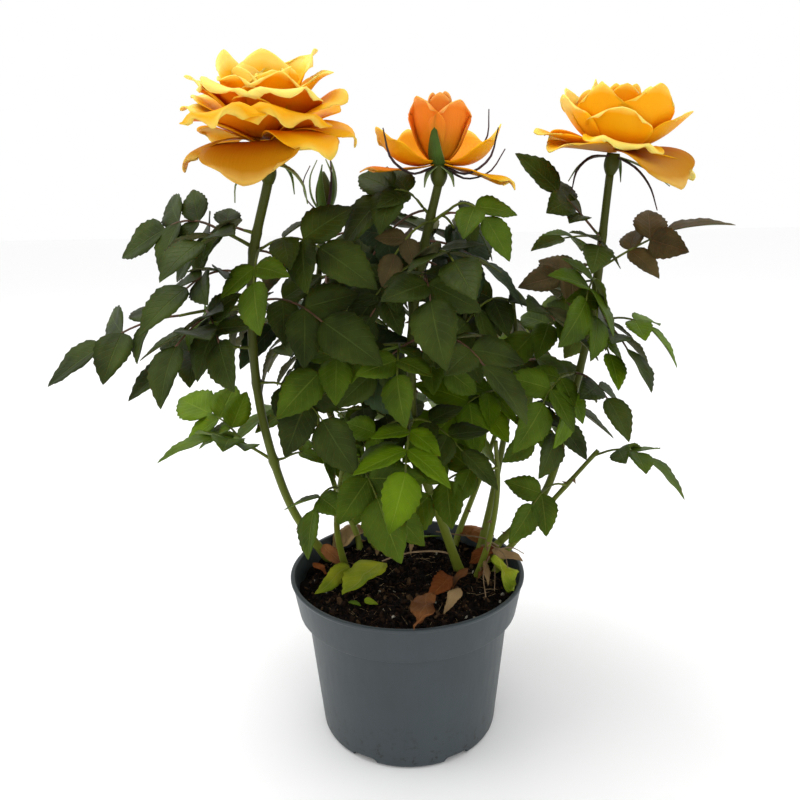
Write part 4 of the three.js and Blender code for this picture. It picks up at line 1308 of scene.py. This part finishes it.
# %% Compost surface
SOIL = {
    "level": 78.0, "top": 77.9, "edge": 57.2, "rings": 70, "steps": 180, "floor": 3.7, "settled": 1.2,
    "flat_to": 44, "slope": 13, "falls": 1.6,
}
LUMPS = [(3, 14, 2.2), (9, 5, 1.3), (5, 1.6, 0.7)]  # layer of the noise, size, height


def soil_height(x, y):
    large, small, fine = (noise.noise(Vector((x, y, layer)) / size) * high for layer, size, high in LUMPS)
    near_wall = max(0.0, (math.hypot(x, y) - SOIL["flat_to"]) / SOIL["slope"]) ** 2
    return SOIL["level"] - SOIL["settled"] + (large + small) + fine - SOIL["falls"] * near_wall


rings = [(SOIL["edge"] * i / SOIL["rings"], SOIL["level"]) for i in range(SOIL["rings"] + 1)]
side = [(54.4, 66.0), (50.0, 62.0), (44.0, SOIL["floor"]), (0, SOIL["floor"])]
soil = spun("compost", rings + side, SOIL["steps"])
for vertex in soil.data.vertices:
    if vertex.co.z > SOIL["top"] * MM:
        vertex.co.z = soil_height(vertex.co.x / MM, vertex.co.y / MM) * MM
soil.data.shade_smooth()


def soil_material(name, dark, light, roughness=0.85):
    paint = Paint(name, roughness, 0.12)
    paint.color(paint.ramp(paint.noise(320.0, 6.0, 0.7), (0.38, dark), (0.72, light)))
    paint.bump(paint.noise(900.0, 4.0, 0.7), 0.0012, 1.0)
    return paint.material


soil.data.materials.clear()
soil.data.materials.append(soil_material("peat", 0x060302, 0x1E140E))
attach(soil, "root")
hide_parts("soil")
print("compost:", len(soil.data.polygons), "faces")

# %% Crumbs and fibres
CRUMBS = {"count": 3600, "seed": 77, "within": 53.0, "least": 0.35, "more": 1.5}
KINDS = (0.62, 0.9, 0.985)  # the shares of black, brown and tan crumbs, added up
FIBRES = {"count": 420, "within": 46, "above": 0.3}


def turned_by(chance):
    a, b, c = (math.tau * chance() for _ in range(3))
    return np.array(Matrix.Rotation(a, 3, "X") @ Matrix.Rotation(b, 3, "Y") @ Matrix.Rotation(c, 3, "Z"))


def strewn(chance, widest):
    radius, turn = widest * math.sqrt(chance()), math.tau * chance()
    x, y = radius * math.cos(turn), radius * math.sin(turn)
    return np.array([x, y, soil_height(x, y)])


ball = bmesh.new()
bmesh.ops.create_icosphere(ball, subdivisions=1, radius=1)
corners, faces = read_template(ball)
crumb = {"faces": faces, "uv": corners[:, :2], "flat": True}
crumbs, chance = Joined(), seeded(CRUMBS["seed"])
for i in range(CRUMBS["count"]):
    size = CRUMBS["least"] + CRUMBS["more"] * chance() ** 3
    stretch = np.array([1 + chance(), 0.6 + 0.5 * chance(), 0.4 + 0.5 * chance()])
    rough = np.array([0.75 + 0.5 * chance() for _ in range(len(corners))])[:, None]
    points = (corners * rough * stretch * size) @ turned_by(chance).T
    points = points + strewn(chance, CRUMBS["within"]) + [0, 0, 0.2 * size]
    kind = chance()
    crumbs.add(points, crumb, sum(kind >= share for share in KINDS))
crumbs.piece(
    "compost_crumbs",
    [
        soil_material("crumb_black", 0x080504, 0x1A110C),
        soil_material("crumb_brown", 0x1E130C, 0x382619),
        soil_material("crumb_tan", 0x43301F, 0x6A5238),
        soil_material("crumb_pale", 0x9A9484, 0xC8C4B4, 0.7),
    ],
    "soil",
)

FIBRE_TUBE = tube_template(3, 5)
fibres = Joined()
for i in range(FIBRES["count"]):
    foot = strewn(chance, FIBRES["within"]) + [0, 0, FIBRES["above"]]
    way = direction(360 * chance(), 24 * chance() - 2)
    fibre = Drooping(foot, way, 2.5 + 7 * chance() ** 2, 0.3 * chance())
    thick = 0.09 + 0.14 * chance()
    add_tube(fibres, FIBRE_TUBE, fibre, thick, thick * 0.5, 0 if chance() < 0.7 else 1)
fibres.piece(
    "compost_fibres",
    [
        soil_material("fibre_brown", 0x3A281C, 0x6A4C34),
        soil_material("fibre_pale", 0x8E7654, 0xC2AC84),
    ],
    "soil",
)

# %% [markdown]
# ## Fallen and fading leaves
# The lowest leaves of a rose turn yellow, then brown, and fall on the compost. Each is placed
# from its foot to its tip, and crumpled by noise. One fading leaf still hangs on its long thin stalk,
# and a few dry threads stand by the rim.

# %% Skins of fading leaves
FADED_SKINS = {
    # light, dark, veins
    "faded_lime": (0xA6A828, 0x6C8018, 0xC0BC70),
    "faded_beige": (0xAC9066, 0x7E6444, 0xC0AA84),
    "faded_brown": (0x935E34, 0x5E3A1E, 0xA87C50),
    "faded_rust": (0x9A5424, 0x603214, 0xB08050),
    "faded_green": (0x708A1C, 0x4C6410, 0x94A450),
}
FADED_MATERIALS = [leaf_material(name, *colors, 0.65, 0.0004, 0.02) for name, colors in FADED_SKINS.items()]
LIME, BEIGE, BROWN, RUST, GREEN = range(5)

# %% Places of fading leaves
FADED = [
    # foot, tip, share of the usual width, twist, curl, crumple, skin
    ((-13, 5, 86), (-33, -20, 82), 1.05, -8, 0.05, 1.2, LIME),
    ((-31, 6, 84), (-44, -19, 82), 0.5, 50, 0.1, 1.0, LIME),
    ((-15, 24, 106), (-15, 18, 82), 0.5, 20, 0.1, 1.4, BEIGE),
    ((-13, 19, 88), (-18, 18, 97), 0.9, 30, 0.2, 1.0, BEIGE),
    ((1, 23, 97), (4, 24, 80), 0.7, -10, 0.1, 1.2, BEIGE),
    ((4, 16, 92), (18, 20, 96), 0.8, 20, 0.2, 0.8, GREEN),
    ((10, -26, 84), (3, -61, 87), 0.56, -6, 0.02, 3.2, BROWN),
    ((22, -6, 84), (11, -19, 81), 1.1, 20, 0.2, 2.6, RUST),
    ((31, -5, 86), (21, -13, 82), 0.9, -20, 0.3, 1.6, BROWN),
    ((26, -22, 84), (17, -36, 81), 0.6, 24, 0.15, 1.4, BEIGE),
    ((48, 18, 86), (33, 11, 83), 0.9, 15, 0.2, 2.2, RUST),
    ((43, 6, 86), (34, -4, 83), 0.7, -40, 0.3, 2.2, BROWN),
    ((46, -4, 92), (54, -27, 85), 0.8, 30, 0.25, 3.0, LIME),
    ((44, 4, 91), (58, -4, 93), 0.5, -30, 0.3, 2.2, BEIGE),
    ((40, -6, 91), (41, -18, 84), 0.5, 30, 0.2, 1.6, BEIGE),
    ((-29, -26, 80), (-23, -29, 81), 1.0, 10, 0.2, 1.0, GREEN),
    ((-22, -24, 80), (-15, -27, 81), 0.9, -20, 0.3, 1.0, LIME),
    ((-50, 14, 81), (-41, 7, 80), 0.8, 20, 0.3, 1.6, RUST),
    ((-46, 22, 88), (-33, 8, 82), 0.6, -30, 0.2, 1.4, BROWN),
    ((30, 46, 82), (50, 34, 81), 0.9, 20, 0.2, 2.2, BROWN),
    ((-24, 50, 82), (-42, 36, 81), 0.9, -20, 0.2, 2.2, BEIGE),
    ((2, 44, 82), (10, 56, 81), 1.0, 10, 0.2, 1.6, RUST),
]
THREADS = [
    # points of each dry stalk or thread, radius
    ([(27, 11, 82), (20, 6, 90), (4, 1, 93), (-8, 3, 89), (-13, 5, 86)], 0.6),
    ([(49, 12, 90), (40, 10, 96), (28, 12, 97), (16, 19, 96)], 0.5),
    ([(42, -4, 92), (38, -14, 88), (38, -25, 81)], 0.35),
    ([(44, -4, 92), (44, -12, 88), (43, -19, 81)], 0.3),
    ([(46, 2, 93), (54, 0, 95), (60, -3, 93)], 0.35),
    ([(44, 6, 94), (50, -2, 92), (51, -14, 86)], 0.3),
]
CRUMPLE = {"scale": 7, "lies": 0.9, "seed": 1}


def crumpled(points, layer, amount):
    """Pushes a leaf's points about by noise, and lays on the compost what would sink into it."""
    moved = points.copy()
    for i, (x, y, z) in enumerate(points):
        x, y, z = points[i] + np.array(noise.noise_vector(Vector((x, y, z)) / CRUMPLE["scale"])) * amount
        ground = soil_height(x, y) if math.hypot(x, y) < SOIL["edge"] - 1 else POT["height"]
        moved[i] = x, y, max(z, ground + CRUMPLE["lies"] + layer[i] * LEAFLET["thickness"])
    return moved


# %% Lay the fading leaves
noise.seed_set(CRUMPLE["seed"])  # without a seed, noise_vector is different in each run
faded = Joined()
for foot, tip, width, twist, curl, crumple, slot in FADED:
    foot, tip = np.array(foot, float), np.array(tip, float)
    along, upper = axes(tip - foot, UP)
    side = np.cross(along, upper)
    turn = math.radians(twist)
    leaflet = {
        "foot": foot, "along": along, "length": np.linalg.norm(tip - foot), "curl": curl, "width": width,
        "side": side * math.cos(turn) + upper * math.sin(turn),
        "upper": upper * math.cos(turn) - side * math.sin(turn),
    }
    points = crumpled(leaflet_points(leaflet, foot[0]), LEAFLET_SHEET["layer"], crumple)
    faded.add(points, LEAFLET_SHEET, slot)
faded.piece("fallen_leaves", FADED_MATERIALS, "leaf")

THREAD_TUBE = tube_template(5, 16)
threads = Joined()
for stops, radius in THREADS:
    add_tube(threads, THREAD_TUBE, Smooth(stops), radius, radius * 0.7)
threads.piece("dry_stalks", [stalk_material("stalk_dry", 0x9C8466, 0x705A40)], "leaf")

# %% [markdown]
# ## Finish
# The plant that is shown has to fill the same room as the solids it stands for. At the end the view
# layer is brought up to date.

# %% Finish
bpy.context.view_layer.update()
